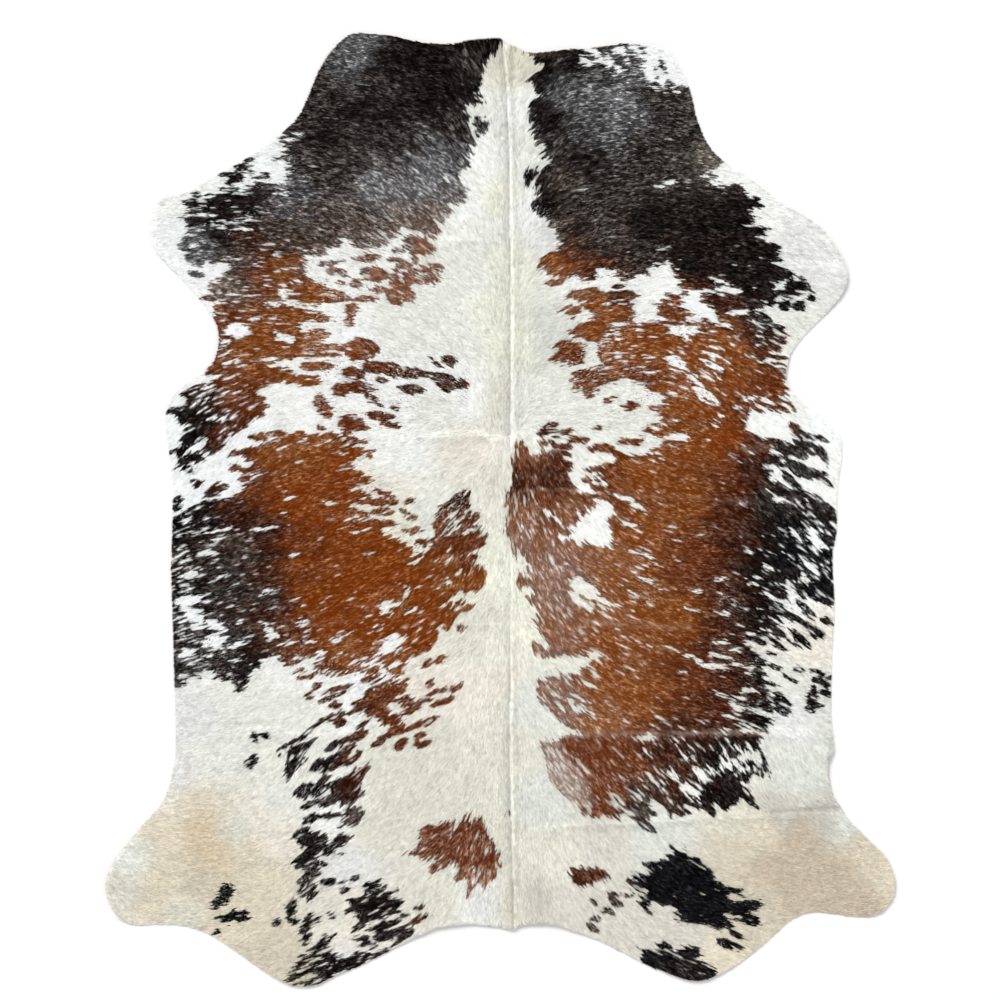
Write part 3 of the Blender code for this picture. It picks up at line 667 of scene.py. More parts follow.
GAPS = (
    # neck and shoulder, left
    (285, 135, 305, 134, 0.9), (280, 142, 299, 138, 1.3), (284, 157, 292, 156, 0.9),
    (279, 166, 289, 166, 1.1), (279, 175, 286, 174, 1.3), (446, 178, 458, 178, 1.1),
    (218, 345, 228, 341, 1.8), (219, 356, 233, 350, 1.2), (228, 363, 242, 358, 1.2),
    (188, 210, 200, 210, 0.8), (200, 214, 215, 216, 1.3), (206, 226, 222, 228, 1),
    (214, 221, 226, 222, 0.7), (232, 222, 252, 219, 0.6), (226, 230, 240, 229, 0.7),
    (240, 227, 252, 231, 0.8), (262, 190, 285, 194, 1), (256, 182, 282, 182, 1.8),
    (255, 172, 282, 172, 5.6), (252, 165, 270, 163, 1.6), (284, 286, 284, 298, 3.6),
    (267, 286, 270, 287, 1.3), (262, 302, 330, 305, 0.5), (232, 331, 245, 331, 7),
    (280, 335, 291, 341, 3.6), (252, 319, 258, 319, 0.8), (272, 319, 282, 319, 0.6),
    (235, 362, 290, 359, 1.1),
    # upper flank, left
    (186, 396, 214, 386, 0.8), (208, 419, 224, 419, 1.6), (228, 402, 236, 402, 0.8),
    (190, 450, 204, 443, 3.2),
    # flank, left
    (181, 534, 194, 524, 1.6), (186, 523, 190, 519, 1.1), (208, 532, 228, 528, 1),
    (215, 540, 221, 538, 0.8), (180, 549, 190, 545, 1), (201, 552, 213, 552, 1.7),
    (180, 556, 186, 553, 0.8), (218, 567, 227, 562, 1.2), (183, 576, 196, 574, 3.6),
    (176, 571, 184, 568, 0.8), (203, 570, 214, 568, 0.6), (180, 602, 196, 600, 5.5),
    (188, 612, 198, 617, 7), (192, 624, 200, 628, 3.4), (210, 622, 222, 630, 4.6),
    (206, 642, 221, 637, 5), (224, 650, 216, 644, 1.6), (258, 621, 268, 623, 1.4),
    (266, 628, 274, 634, 3.6), (297, 625, 308, 621, 2.6), (256, 593, 285, 588, 0.8),
    (286, 497, 296, 497, 1.6), (278, 514, 290, 513, 0.8), (260, 530, 276, 527, 0.9),
    (290, 556, 297, 553, 0.8), (288, 601, 297, 600, 0.9), (344, 609, 352, 607, 0.9),
    (341, 637, 349, 634, 1.1), (228, 648, 240, 644, 1.6), (180, 655, 190, 652, 1.6),
    (192, 662, 202, 658, 0.9), (205, 658, 214, 654, 1.2), (238, 622, 244, 621, 1.2),
    (282, 645, 296, 642, 1.1), (302, 643, 312, 641, 0.8), (234, 662, 244, 658, 0.8),
    (325, 501, 334, 505, 1.2), (322, 500, 328, 501, 0.6), (350, 519, 390, 516, 1.6),
    (356, 532, 386, 522, 0.8), (352, 520, 362, 518, 1.1), (366, 500, 372, 508, 3),
    (386, 497, 396, 503, 1.2), (366, 555, 380, 551, 0.5), (384, 611, 388, 604, 3.4),
    (388, 607, 396, 603, 1.2), (404, 596, 410, 590, 1.6), (400, 584, 412, 588, 0.8),
    (414, 589, 420, 587, 0.6), (406, 614, 416, 609, 1.7), (390, 617, 394, 620, 0.8),
    (374, 640, 384, 640, 1.2), (382, 651, 400, 640, 5.5), (392, 636, 386, 640, 3.2),
    (398, 652, 412, 646, 1.1), (376, 660, 366, 668, 2.6), (376, 662, 390, 676, 3),
    (388, 668, 398, 664, 1.1), (352, 664, 368, 656, 1.1), (322, 652, 310, 660, 1.6),
    (330, 640, 340, 641, 0.6), (452, 577, 460, 572, 0.5), (448, 578, 452, 586, 0.4),
    (436, 590, 442, 582, 0.4), (425, 548, 440, 540, 1.2), (436, 541, 460, 527, 0.9),
    (445, 530, 470, 514, 0.6), (462, 534, 478, 528, 0.8), (412, 564, 424, 556, 1.1),
    (465, 512, 472, 506, 0.5), (440, 610, 446, 604, 0.5),
    # rump patches, left
    (443, 842, 450, 838, 0.6), (312, 966, 330, 962, 0.9), (296, 972, 312, 965, 1.5),
    (296, 981, 318, 972, 1.4), (325, 975, 345, 970, 0.9), (288, 968, 298, 962, 1.2),
    (361, 954, 372, 953, 0.9), (330, 893, 345, 893, 0.5),
    # neck, right
    (703, 178, 710, 173, 1.3), (712, 183, 721, 189, 1.6), (650, 187, 670, 183, 1.3),
    (716, 280, 724, 282, 2.4), (716, 288, 738, 291, 3.2), (690, 292, 716, 290, 1),
    (588, 50, 600, 58, 4.5), (594, 60, 607, 63, 3), (606, 54, 609, 66, 1.2), (614, 52, 622, 50, 2.5),
    (616, 66, 620, 74, 1.2), (630, 46, 640, 56, 3), (580, 56, 590, 66, 1.4), (624, 58, 630, 66, 0.8),
    (652, 88, 664, 92, 1.4), (668, 84, 676, 92, 0.9), (608, 74, 616, 78, 0.8), (776, 288, 790, 278, 3),
    (772, 263, 785, 266, 1.6), (790, 282, 799, 277, 1), (776, 297, 795, 301, 1.6),
    # shoulder, right
    (606, 334, 611, 334, 1.6), (600, 346, 606, 343, 1.6), (675, 331, 693, 330, 6),
    (684, 337, 690, 339, 3), (672, 359, 683, 366, 4.6), (683, 367, 700, 386, 2.2),
    (702, 353, 720, 357, 1.2), (704, 361, 720, 368, 1.6), (708, 374, 722, 378, 1.3),
    (694, 388, 710, 396, 3.4), (698, 398, 716, 403, 2), (705, 316, 728, 326, 2.4),
    (668, 437, 684, 437, 3.6), (742, 400, 757, 397, 1.6), (750, 406, 768, 400, 1.3),
    (737, 408, 750, 412, 1.3), (715, 414, 722, 416, 0.8), (700, 423, 712, 424, 0.6),
    # back, right
    (617, 498, 634, 497, 1.0), (633, 506, 648, 507, 1.6), (623, 524, 633, 525, 1.1),
    (576, 584, 592, 594, 7.5), (590, 597, 612, 604, 2.6), (627, 550, 650, 557, 0.5),
    (574, 597, 592, 609, 3.6), (546, 512, 560, 522, 1.2), (521, 526, 535, 535, 1.1),
    (561, 536, 572, 541, 1.3), (638, 577, 658, 586, 0.8), (618, 584, 640, 595, 0.9),
    (547, 669, 576, 662, 4.8), (578, 660, 594, 656, 3.2), (570, 700, 592, 716, 1.3),
    (566, 676, 604, 690, 0.9), (560, 690, 590, 702, 0.8), (571, 704, 590, 713, 3.2),
    (550, 700, 562, 708, 0.5), (582, 650, 600, 656, 1.1), (686, 656, 700, 660, 1.1),
    (700, 663, 726, 667, 2.8), (712, 655, 735, 660, 1.1), (685, 607, 698, 612, 1.1),
    (741, 551, 750, 552, 1.1), (717, 580, 726, 578, 1.1), (692, 590, 700, 591, 0.5),
    (724, 614, 734, 612, 1.1), (724, 636, 738, 633, 1.1), (714, 642, 727, 643, 1.3),
    (732, 650, 750, 643, 1.1), (745, 636, 762, 630, 1.3), (730, 661, 742, 665, 1.1),
    (676, 671, 684, 672, 0.9), (640, 738, 651, 737, 2.8), (640, 744, 648, 754, 0.8),
    # flank edge, right
    (772, 467, 783, 479, 2.8), (771, 482, 784, 488, 0.9), (774, 492, 792, 500, 0.9),
    (786, 478, 800, 492, 0.9), (792, 466, 803, 480, 0.9), (806, 486, 822, 497, 2.4),
    (790, 478, 806, 486, 1.6), (804, 460, 822, 470, 3.2), (772, 456, 780, 458, 1.1),
    (806, 516, 812, 521, 1.1), (810, 529, 819, 545, 5), (818, 545, 832, 548, 3.4),
    (825, 548, 829, 560, 3), (822, 562, 828, 576, 3), (806, 563, 818, 575, 2.5),
    (820, 530, 820, 538, 0.8), (806, 565, 817, 574, 1.6), (803, 577, 811, 581, 1.1),
    (793, 532, 802, 540, 0.9), (766, 550, 775, 555, 0.9), (783, 554, 790, 558, 1.1),
    (764, 566, 772, 568, 0.6), (780, 584, 800, 582, 1.3), (790, 590, 797, 606, 6),
    (763, 590, 778, 602, 1.6), (752, 583, 760, 586, 0.6), (748, 578, 756, 577, 0.6),
    (816, 604, 830, 612, 4.8), (785, 600, 790, 612, 3.2), (760, 608, 772, 610, 0.8),
    (746, 675, 752, 668, 1.6), (745, 690, 770, 690, 1.1), (713, 692, 750, 700, 0.9),
    (730, 702, 738, 708, 2.8), (728, 716, 745, 722, 1.1), (748, 706, 768, 716, 0.8),
    (724, 729, 772, 733, 1.2), (740, 722, 762, 728, 0.8),
    # rump, right
    (724, 766, 746, 757, 4.8), (737, 772, 748, 768, 3.2), (707, 765, 721, 777, 1.6),
    (695, 768, 706, 780, 2.8), (668, 772, 677, 777, 3.6), (686, 784, 699, 797, 3.6),
    (682, 790, 690, 800, 1.6), (650, 776, 661, 789, 0.9), (656, 774, 664, 784, 0.5),
    (652, 803, 668, 818, 4), (640, 790, 650, 802, 0.8), (684, 806, 700, 812, 1.3),
    (690, 746, 700, 755, 0.9), (676, 745, 684, 757, 0.8), (712, 745, 722, 758, 0.9),
    (735, 745, 744, 756, 0.8), (748, 745, 757, 765, 1.1), (757, 752, 762, 768, 0.8),
    (742, 776, 748, 786, 1.3), (700, 784, 710, 795, 0.8), (670, 790, 676, 800, 0.6),
    (731, 897, 745, 898, 0.4), (726, 915, 738, 917, 0.4), (700, 866, 712, 870, 0.4),
    (636, 883, 645, 890, 0.5),
)
print(len(MARKS), "marks and", len(GAPS), "gaps")

# %% The depth maps
REACH = 26.0                 # pixels beyond which the depth no longer changes
MARK_GROWTH = 0.7            # the teeth eat this much of a small mark again
STROKE_SLOPE = 1.1           # steeper sides than a patch, so that a small mark keeps its shape


def by_row(names, table):
    """A table's rows, each with its facts under their names."""
    return [dict(zip(names, row)) for row in table]


def window(least_column, least_row, most_column, most_row):
    """The part of the maps around a shape."""
    first = (int(least_row - REACH) - TOP_ROW, int(least_column - REACH) - LEFT_COLUMN)
    last = (int(most_row + REACH) - TOP_ROW + 1, int(most_column + REACH) - LEFT_COLUMN + 1)
    return tuple(slice(max(a, 0), max(b, 1)) for a, b in zip(first, last))


def window_of(stroke):
    """The part of the maps around a stroke."""
    across, down = (stroke["column"], stroke["to_column"]), (stroke["row"], stroke["to_row"])
    return window(min(across), min(down), max(across), max(down))


def away_from_line(here_columns, here_rows, start, end):
    """How far places lie from a straight line between two points."""
    across, down = end[0] - start[0], end[1] - start[1]
    share = (here_columns - start[0]) * across + (here_rows - start[1]) * down
    share = np.clip(share / (across**2 + down**2 + TINY), 0, 1)
    return np.hypot(here_columns - start[0] - share * across, here_rows - start[1] - share * down)


def patch_depth(corners):
    """The window of a patch, and there how deep each place lies inside it."""
    points = np.array(corners, float)
    part = window(*points.min(axis=0), *points.max(axis=0))
    here_columns, here_rows = columns[part], rows[part]
    away = np.full(here_columns.shape, REACH)
    inside = np.zeros(here_columns.shape, bool)
    for start, end in zip(points, np.roll(points, -1, axis=0)):
        away = np.minimum(away, away_from_line(here_columns, here_rows, start, end))
        crosses = (here_rows < start[1]) != (here_rows < end[1])
        slope = (end[0] - start[0]) / (end[1] - start[1]) if end[1] != start[1] else 0
        inside ^= crosses & (here_columns < start[0] + (here_rows - start[1]) * slope)
    return part, np.where(inside, away, -away)


def stroke_depth(stroke):
    """The same for one stroke, which is a spindle: widest half way and pointed at both ends."""
    part = window_of(stroke)
    across, down = stroke["to_column"] - stroke["column"], stroke["to_row"] - stroke["row"]
    length = np.hypot(across, down)
    from_middle = (
        columns[part] - (stroke["column"] + stroke["to_column"]) / 2,
        rows[part] - (stroke["row"] + stroke["to_row"]) / 2,
    )
    along = np.abs(from_middle[0] * across + from_middle[1] * down) / length
    aside = np.abs(from_middle[0] * down - from_middle[1] * across) / length
    reach = length / 2 + stroke["half_width"]
    spindle = stroke["half_width"] * np.sqrt(np.clip(1 - (along / reach) ** 2, 0, 1)) - aside
    beyond = -np.hypot(along - reach, aside)
    return part, STROKE_SLOPE * np.where(along < reach, spindle, beyond)


patch_depths = np.full(columns.shape, -REACH)
mark_depths = patch_depths.copy()
for corners in PATCHES.values():
    part, inside = patch_depth(corners)
    patch_depths[part] = np.maximum(patch_depths[part], inside)
for stroke in by_row(STROKE_COLUMNS, GAPS):
    part, inside = stroke_depth(stroke)
    patch_depths[part] = np.minimum(patch_depths[part], -inside)
for stroke in by_row(STROKE_COLUMNS, MARKS):
    part, inside = stroke_depth(stroke)
    mark_depths[part] = np.maximum(mark_depths[part], inside + MARK_GROWTH)
both_depths = np.maximum(patch_depths, mark_depths)
print("share of the maps under dark hair:", round(float((both_depths > 0).mean()), 3))

# %% [markdown]
# ## Colours of the coat
#
# Neither the dark nor the white hair is one colour. The dark coat goes from black over soot and a
# purplish brown to ginger, the black carries a painted slate and silver sheen where it faces the light,
# and the white is cool on the sides, cream along the spine and beige on the hind shanks. One pair of
# tables names the tones, another the stations where each is seen, and the maps blend between them.

# %% Tones
DARK_TONES = {               # the deepest and the palest hair of each tone, as display colours; the palest partly stand for painted glints on glossy hair
    "jet": ((5, 5, 6), (38, 38, 41)), "black": ((6, 4, 3), (54, 49, 47)),
    "soot": ((15, 10, 8), (104, 98, 94)), "umber": ((32, 24, 18), (132, 120, 112)),
    # slate_sheen and silver_sheen are painted sheen: the light that glossy black hair throws back, set
    # down as tones
    "slate_sheen": ((44, 43, 44), (168, 168, 170)), "silver_sheen": ((68, 68, 69), (184, 184, 186)),
    "taupe": ((61, 56, 48), (165, 158, 149)), "drab": ((76, 60, 50), (176, 164, 158)),
    "bark": ((35, 10, 3), (98, 70, 58)), "mahogany": ((54, 15, 2), (124, 86, 66)),
    "cocoa": ((54, 19, 5), (124, 88, 71)), "chestnut": ((82, 34, 6), (148, 100, 74)),
    "russet": ((82, 35, 12), (158, 115, 93)), "ginger": ((107, 51, 8), (168, 118, 80)),
    "amber": ((107, 44, 4), (158, 98, 52)), "honey": ((118, 66, 28), (184, 146, 118)),
    "fawn": ((110, 67, 43), (172, 132, 109)), "mauve": ((110, 81, 67), (180, 150, 136)),
    "ash": ((136, 116, 104), (218, 206, 198)),
}
WHITE_TONES = {              # a white tone is one display colour, and its grain is worked out below
    "snow": (240, 241, 237), "frost": (243, 245, 245), "cool": (229, 230, 223), "mist": (227, 227, 225),
    "dove": (217, 219, 212), "ivory": (230, 230, 216), "pearl": (221, 220, 208),
    "cream": (220, 217, 202), "shell": (232, 227, 216), "straw": (222, 214, 195),
    "clay": (210, 202, 184), "beige": (215, 201, 175), "sand": (200, 187, 166),
    "shade": (199, 196, 187), "putty": (212, 208, 199),
}
print(len(DARK_TONES), "dark and", len(WHITE_TONES), "white tones")

# %% Where each tone is seen
DARK_STATIONS = {
    "jet": (
        (180, 432), (180, 522), (372, 882), (230, 900), (800, 305), (780, 306), (775, 560), (785, 516),
        (800, 530), (820, 560), (812, 585), (790, 550), (785, 705), (680, 880), (645, 888), (675, 856),
        (652, 870), (700, 866), (740, 915), (720, 890), (700, 915), (655, 955), (705, 966),
    ),
    # black at (545, 62) and (570, 62), and soot at (595, 70), are painted shade along the curled top edge
    # of the neck, right
    "black": (
        (420, 50), (350, 110), (488, 45), (444, 66), (455, 50), (466, 90), (324, 138), (396, 114),
        (430, 100), (385, 50), (395, 68), (388, 44), (200, 210), (230, 190), (228, 234), (250, 215),
        (200, 412), (182, 402), (190, 455), (200, 520), (190, 600), (250, 670), (290, 760), (255, 745),
        (325, 765), (320, 787), (300, 795), (310, 818), (320, 850), (300, 860), (328, 881), (375, 905),
        (400, 905), (310, 930), (322, 962), (350, 960), (380, 930), (542, 110), (540, 90), (540, 186),
        (542, 212), (588, 162), (528, 174), (545, 62), (570, 62), (650, 225), (700, 220), (740, 220),
        (770, 265), (690, 265), (535, 56), (562, 56), (795, 290), (730, 268), (745, 285), (780, 330),
        (756, 650), (782, 450), (782, 474), (766, 470), (765, 487), (768, 515), (760, 545), (761, 585),
        (812, 522), (785, 491), (812, 494), (765, 620), (760, 670), (755, 710), (800, 640), (815, 690),
        (720, 750), (730, 790), (745, 760), (700, 800), (680, 962),
    ),
    "soot": (
        (470, 66), (300, 138), (380, 80), (330, 100), (300, 120), (460, 125), (400, 150), (350, 150),
        (320, 170), (300, 157), (325, 75), (220, 570), (230, 640), (190, 670), (245, 590), (310, 730),
        (330, 745), (327, 802), (310, 885), (402, 936), (320, 978), (555, 150), (652, 150), (694, 122),
        (620, 180), (580, 200), (600, 240), (595, 70), (670, 115), (682, 140), (640, 255), (660, 95),
        (760, 320), (800, 450), (815, 475), (785, 504), (812, 506), (650, 828), (684, 978),
    ),
    "umber": (
        (370, 222), (340, 225), (310, 235), (252, 258), (235, 265), (280, 235), (270, 600), (250, 550),
        (350, 818), (560, 235), (565, 180), (765, 503), (640, 800), (600, 910),
    ),
    # painted sheen: black hair that catches the light is painted slate and silver here
    "slate_sheen": (
        (350, 55), (372, 40), (440, 160), (295, 200), (345, 64), (190, 250), (206, 258), (566, 86),
        (600, 90), (628, 112), (600, 130),
    ),
    "silver_sheen": ((430, 172), (420, 195), (380, 190), (360, 50), (625, 100)),
    "taupe": ((705, 150),),
    "drab": ((425, 213), (402, 222), (400, 240), (232, 288), (320, 262), (350, 265), (380, 240)),
    "bark": (
        (250, 240), (208, 402), (450, 380), (410, 390), (240, 520), (272, 540), (274, 575), (260, 570),
        (265, 622), (460, 498), (345, 790), (725, 304), (612, 282), (520, 480), (548, 480), (745, 540),
        (740, 600), (742, 645), (732, 642), (740, 690), (755, 470), (660, 750), (670, 785), (690, 760),
    ),
    "mahogany": ((720, 520), (720, 580), (715, 640), (720, 680), (715, 715), (745, 490)),
    "cocoa": (
        (230, 430), (400, 372), (372, 378), (285, 610), (360, 705), (340, 712), (355, 735), (350, 757),
        (365, 770), (418, 918), (590, 265), (775, 345), (545, 430), (535, 470), (562, 475), (514, 468),
        (768, 450), (655, 770), (585, 878), (600, 872),
    ),
    "chestnut": (
        (268, 262), (260, 278), (225, 320), (218, 350), (245, 392), (230, 400), (390, 370), (340, 390),
        (325, 410), (352, 425), (300, 545), (294, 580), (255, 480), (300, 650), (450, 518), (470, 550),
        (380, 700), (400, 725), (440, 695), (430, 720), (310, 674), (570, 350), (590, 380), (670, 305),
        (640, 380), (770, 385), (785, 400), (755, 400), (620, 402), (600, 445), (545, 500), (600, 470),
        (690, 560), (690, 680), (730, 470), (570, 750), (590, 760), (620, 755), (610, 790), (600, 812),
        (640, 760),
    ),
    "russet": ((430, 840), (460, 850), (485, 850), (430, 868)),
    "ginger": (
        (285, 270), (320, 292), (250, 330), (300, 315), (240, 365), (300, 380), (270, 350), (360, 350),
        (270, 450), (310, 445), (450, 580), (480, 580), (350, 655), (390, 665), (560, 265), (600, 310),
        (590, 330), (620, 350), (650, 350), (690, 345), (720, 340), (740, 380), (700, 380), (680, 400),
        (640, 470), (640, 540), (640, 620), (690, 440), (690, 500), (680, 620), (640, 700), (600, 680),
        (600, 640), (620, 590),
    ),
    "amber": (
        (305, 600), (290, 500), (295, 560), (345, 460), (330, 520), (350, 580), (390, 560), (330, 620),
        (380, 620), (420, 600), (420, 640), (720, 440),
    ),
    "honey": ((320, 345), (612, 610), (615, 560), (600, 720)),
    "fawn": (
        (372, 272), (420, 250), (400, 285), (350, 315), (475, 885), (575, 295), (530, 453), (517, 455),
        (515, 510), (566, 498), (540, 540), (550, 625), (580, 630), (590, 555),
    ),
    "mauve": ((525, 545), (560, 560), (560, 595), (555, 655), (550, 690), (550, 705), (570, 715)),
    "ash": ((555, 765), (570, 790)),
}
WHITE_STATIONS = {
    "snow": (
        (485, 160), (522, 110), (525, 210), (300, 140), (180, 200), (340, 310), (400, 450), (300, 400),
        (640, 300), (770, 190), (790, 420), (715, 175), (200, 560), (590, 520), (830, 480), (800, 480),
        (790, 600), (720, 780), (468, 400), (335, 812), (335, 695), (305, 668), (468, 205), (385, 258),
        (396, 402), (444, 378), (588, 283),
    ),
    "frost": (
        (260, 165), (172, 240), (210, 300), (620, 55), (660, 70), (830, 420), (680, 340), (185, 480),
        (230, 475), (180, 610), (220, 635), (820, 545), (372, 666), (348, 354),
    ),
    "cool": (
        (512, 140), (485, 110), (522, 170), (440, 250), (400, 320), (450, 340), (440, 410), (540, 410),
        (520, 408), (600, 420), (800, 330), (430, 520), (790, 680), (240, 700), (300, 710), (220, 760),
        (280, 800), (130, 860), (485, 928), (480, 235), (478, 285),
    ),
    "mist": (
        (545, 240), (820, 240), (835, 265), (800, 720), (185, 720), (480, 905), (350, 870), (350, 955),
        (180, 780),
    ),
    "dove": (
        (545, 330), (820, 700), (530, 700), (540, 800), (660, 835), (845, 825), (800, 780), (790, 760),
        (830, 740),
    ),
    "ivory": (
        (500, 200), (512, 260), (495, 300), (512, 340), (500, 580), (500, 640), (396, 522), (468, 598),
    ),
    "pearl": (
        (498, 405), (512, 480), (512, 760), (512, 850), (480, 620), (400, 780), (440, 740), (470, 800),
        (380, 830), (420, 760), (440, 900), (330, 915), (120, 890), (240, 830), (560, 860),
    ),
    "cream": ((512, 70), (512, 910), (180, 915), (740, 820)),
    "shell": (
        (500, 680), (470, 450), (815, 650), (830, 640), (460, 700), (260, 820), (170, 800), (280, 840),
        (145, 930), (350, 900), (350, 935), (420, 690), (372, 500),
    ),
    "straw": (
        (270, 880), (250, 850), (160, 880), (165, 830), (240, 920), (190, 800), (150, 910), (760, 830),
        (885, 880), (730, 960),
    ),
    "clay": (
        (200, 880), (270, 950), (290, 970), (740, 850), (870, 860), (860, 845), (750, 930), (760, 900),
    ),
    "beige": ((200, 830), (215, 855)),
    "sand": ((770, 870), (800, 850), (800, 890), (840, 870), (850, 895), (805, 836), (860, 905)),
    "shade": ((540, 905), (822, 822), (780, 812)),
    "putty": ((600, 840), (560, 910), (620, 930), (680, 935)),
}
DARK_GAIN, WHITE_GAIN = 1.22, 1.02     # make up for the light that is lost between the hairs
TONE_FALLOFF, TONE_REACH = 4.0, 8.0    # how a tone fades with distance, and pixels it holds at its station


def to_linear(tone):
    """Display colours of 0 to 255 as the light that they stand for."""
    share = np.array(tone) / 255
    return np.where(share <= 0.04045, share / 12.92, ((share + 0.055) / 1.055) ** 2.4)


def tone_map(stations, tones):
    """A map of colours that passes between the stations of the tones."""
    places = [place for tone in stations for place in stations[tone]]
    colours = [to_linear(tones[tone]).ravel() for tone in stations for _ in stations[tone]]
    return blended(by_column(("column", "row"), places), np.array(colours), TONE_FALLOFF, TONE_REACH)


dark_tones = tone_map(DARK_STATIONS, DARK_TONES) * DARK_GAIN
white_tones = tone_map(WHITE_STATIONS, WHITE_TONES) * WHITE_GAIN
for kind, stations in (("dark", DARK_STATIONS), ("white", WHITE_STATIONS)):
    print(kind, "stations:", sum(len(places) for places in stations.values()))

# %% [markdown]
# ## Teeth and flecks
#
# Now the streaks tear the edges: they are added to the depth, more where the hair runs across an edge
# than where it runs beside it. White flecks sit in the dark coat where single locks have no pigment. A
# table gives their share and how pale they are, and the strongest streaks of that share become flecks.

# %% The torn depth
TEAR_ALONG, TEAR_ACROSS = 1.0, 2.7     # pixels by which streaks move an edge
MARK_TEAR = 0.65                       # a small mark is torn less, or nothing of it would stay whole
TEETH = {"grain": 0.45, "hair": 0.85, "lock": 0.50, "tuft": 0.30}     # how far each kind of streak bites
TORN_LIMIT = 12.0                      # pixels beyond which depth counts no further
PATCH_BLUR, MARK_BLUR, SLOPE_BLUR = 0.6, 0.4, 1.5     # pixels that round off the drawn corners
FLAT_SLOPE = 1e-6                      # a place with no slope at all faces no way


def mixed_streaks(shares):
    """Several kinds of streaks added up, each with its share."""
    return sum(share * streak[kind] for kind, share in shares.items())


down_slope, across_slope = np.gradient(softened(both_depths, SLOPE_BLUR))
steepness = np.hypot(across_slope, down_slope) + FLAT_SLOPE
facing = np.abs(across_slope * lay[..., 0] + down_slope * lay[..., 1]) / steepness
tear = TEAR_ALONG + (TEAR_ACROSS - TEAR_ALONG) * facing
teeth = mixed_streaks(TEETH)


def torn_depth(depths, blur, share):
    """A depth map with teeth at its edges."""
    return np.clip(softened(depths, blur), -TORN_LIMIT, TORN_LIMIT) + share * tear * teeth


torn = np.maximum(
    torn_depth(patch_depths, PATCH_BLUR, 1.0), torn_depth(mark_depths, MARK_BLUR, MARK_TEAR)
)
print("share of the maps under torn dark hair:", round(float((torn > 0).mean()), 3))

# %% Flecks
FLECK_FALLOFF = 3.5          # lower than for the lay, so the share changes gently
FLECK_STREAKS = {"fleck": 0.85, "hair": -0.35}     # seldom in the heart of a dark lock
FLECK_SHARPNESS = 3          # how fast a fleck fades in over its edge
MOST_FLECKS, SHARE_STEPS = 0.4, 81     # the shares of flecks for which a limit is measured
FLECK_COLUMNS = ("column", "row", "percent", "paleness_and_glint")
FLECKS = (
    (420, 80, 0.1, 0.6), (330, 100, 0.5, 0.5), (400, 180, 0.5, 0.4), (350, 230, 0.9, 0.5),
    (290, 200, 1.8, 0.6), (230, 220, 3.6, 0.9), (190, 222, 18, 1.0), (250, 270, 6, 0.9),
    (225, 295, 9, 1.0), (250, 330, 2.4, 1.0), (300, 345, 4.2, 1.0), (270, 375, 4.2, 1.0),
    (230, 400, 15, 1.0), (225, 350, 12, 1.0), (265, 445, 7, 1.0), (200, 440, 5.4, 1.0),
    (190, 515, 15, 1.0), (190, 570, 14, 1.0), (230, 600, 7, 1.0), (255, 625, 10, 1.0),
    (370, 262, 12, 1.0), (190, 650, 20, 1.0), (185, 615, 25, 1.0), (240, 655, 6.6, 1.0),
    (250, 540, 1.8, 0.9), (310, 480, 0.6, 0.9), (300, 560, 0.4, 0.8), (340, 600, 1.5, 1.0),
    (300, 635, 6, 1.0), (380, 580, 0.7, 1.0), (350, 530, 0.8, 1.0), (395, 655, 8, 1.0),
    (340, 655, 7, 1.0), (400, 620, 2, 1.0), (460, 560, 8, 1.0), (465, 530, 9, 1.0), (388, 640, 14, 1.0),
    (450, 610, 4.2, 1.0), (390, 700, 2.4, 1.0), (250, 480, 3, 0.7), (325, 785, 8, 0.95),
    (345, 435, 8, 1.0), (320, 850, 4.2, 0.9), (385, 910, 9, 0.95), (325, 968, 16, 1.0),
    (235, 905, 1, 0.6), (445, 380, 1, 0.8), (412, 388, 1, 0.8), (385, 420, 1, 0.8), (300, 976, 34, 1.0),
    (460, 850, 5, 0.8), (475, 880, 20, 0.9), (600, 100, 0.5, 0.5), (560, 80, 0.3, 0.4),
    (690, 130, 1.8, 0.5), (650, 200, 0.3, 0.7), (720, 215, 0.1, 0.9), (700, 245, 0.2, 0.9),
    (770, 280, 2.5, 1.0), (600, 260, 0.6, 0.8), (620, 350, 4.2, 1.0), (700, 370, 8, 1.0),
    (660, 350, 9, 1.0), (655, 432, 17, 1.0), (690, 410, 1.5, 1.0), (740, 400, 3.6, 1.0),
    (770, 340, 7.2, 0.9), (650, 393, 20, 1.0), (580, 350, 3.6, 1.0), (550, 470, 2.4, 0.8),
    (572, 452, 12, 0.9), (575, 672, 26, 0.95), (530, 525, 13, 0.7), (560, 595, 14, 0.8),
    (550, 640, 5, 0.4), (600, 560, 5, 0.8), (640, 500, 1.2, 1.0), (690, 490, 1.0, 1.0),
    (700, 445, 0.7, 1.0), (625, 594, 18, 1.0), (660, 600, 1, 0.9), (700, 560, 0.4, 0.9),
    (690, 620, 0.5, 1.0), (720, 650, 1.4, 1.0), (740, 560, 0.7, 0.8), (780, 560, 3, 0.9),
    (800, 520, 4.8, 0.7), (780, 480, 3, 0.9), (770, 505, 1.5, 0.8), (820, 590, 5.4, 0.8),
    (822, 552, 18, 1.0), (815, 515, 13, 1.0), (778, 628, 8, 1.0), (740, 700, 4.8, 1.0),
    (690, 700, 0.8, 1.0), (645, 690, 2.5, 0.95), (655, 726, 5, 0.95), (560, 695, 9, 0.9),
    (600, 700, 2.5, 0.8), (745, 738, 20, 1.0), (700, 735, 7.2, 0.9), (565, 785, 20, 0.8),
    (556, 760, 20, 0.8), (600, 795, 12, 0.7), (600, 755, 1.8, 0.5), (655, 790, 12, 1.0),
    (625, 803, 22, 0.9), (700, 760, 8.4, 1.0), (720, 800, 1.8, 0.8), (680, 880, 0.1, 0.6),
    (636, 885, 6, 0.6), (730, 905, 2.4, 0.9), (680, 965, 4.8, 0.9), (585, 878, 3, 0.7),
    (600, 910, 4.8, 0.9),
)

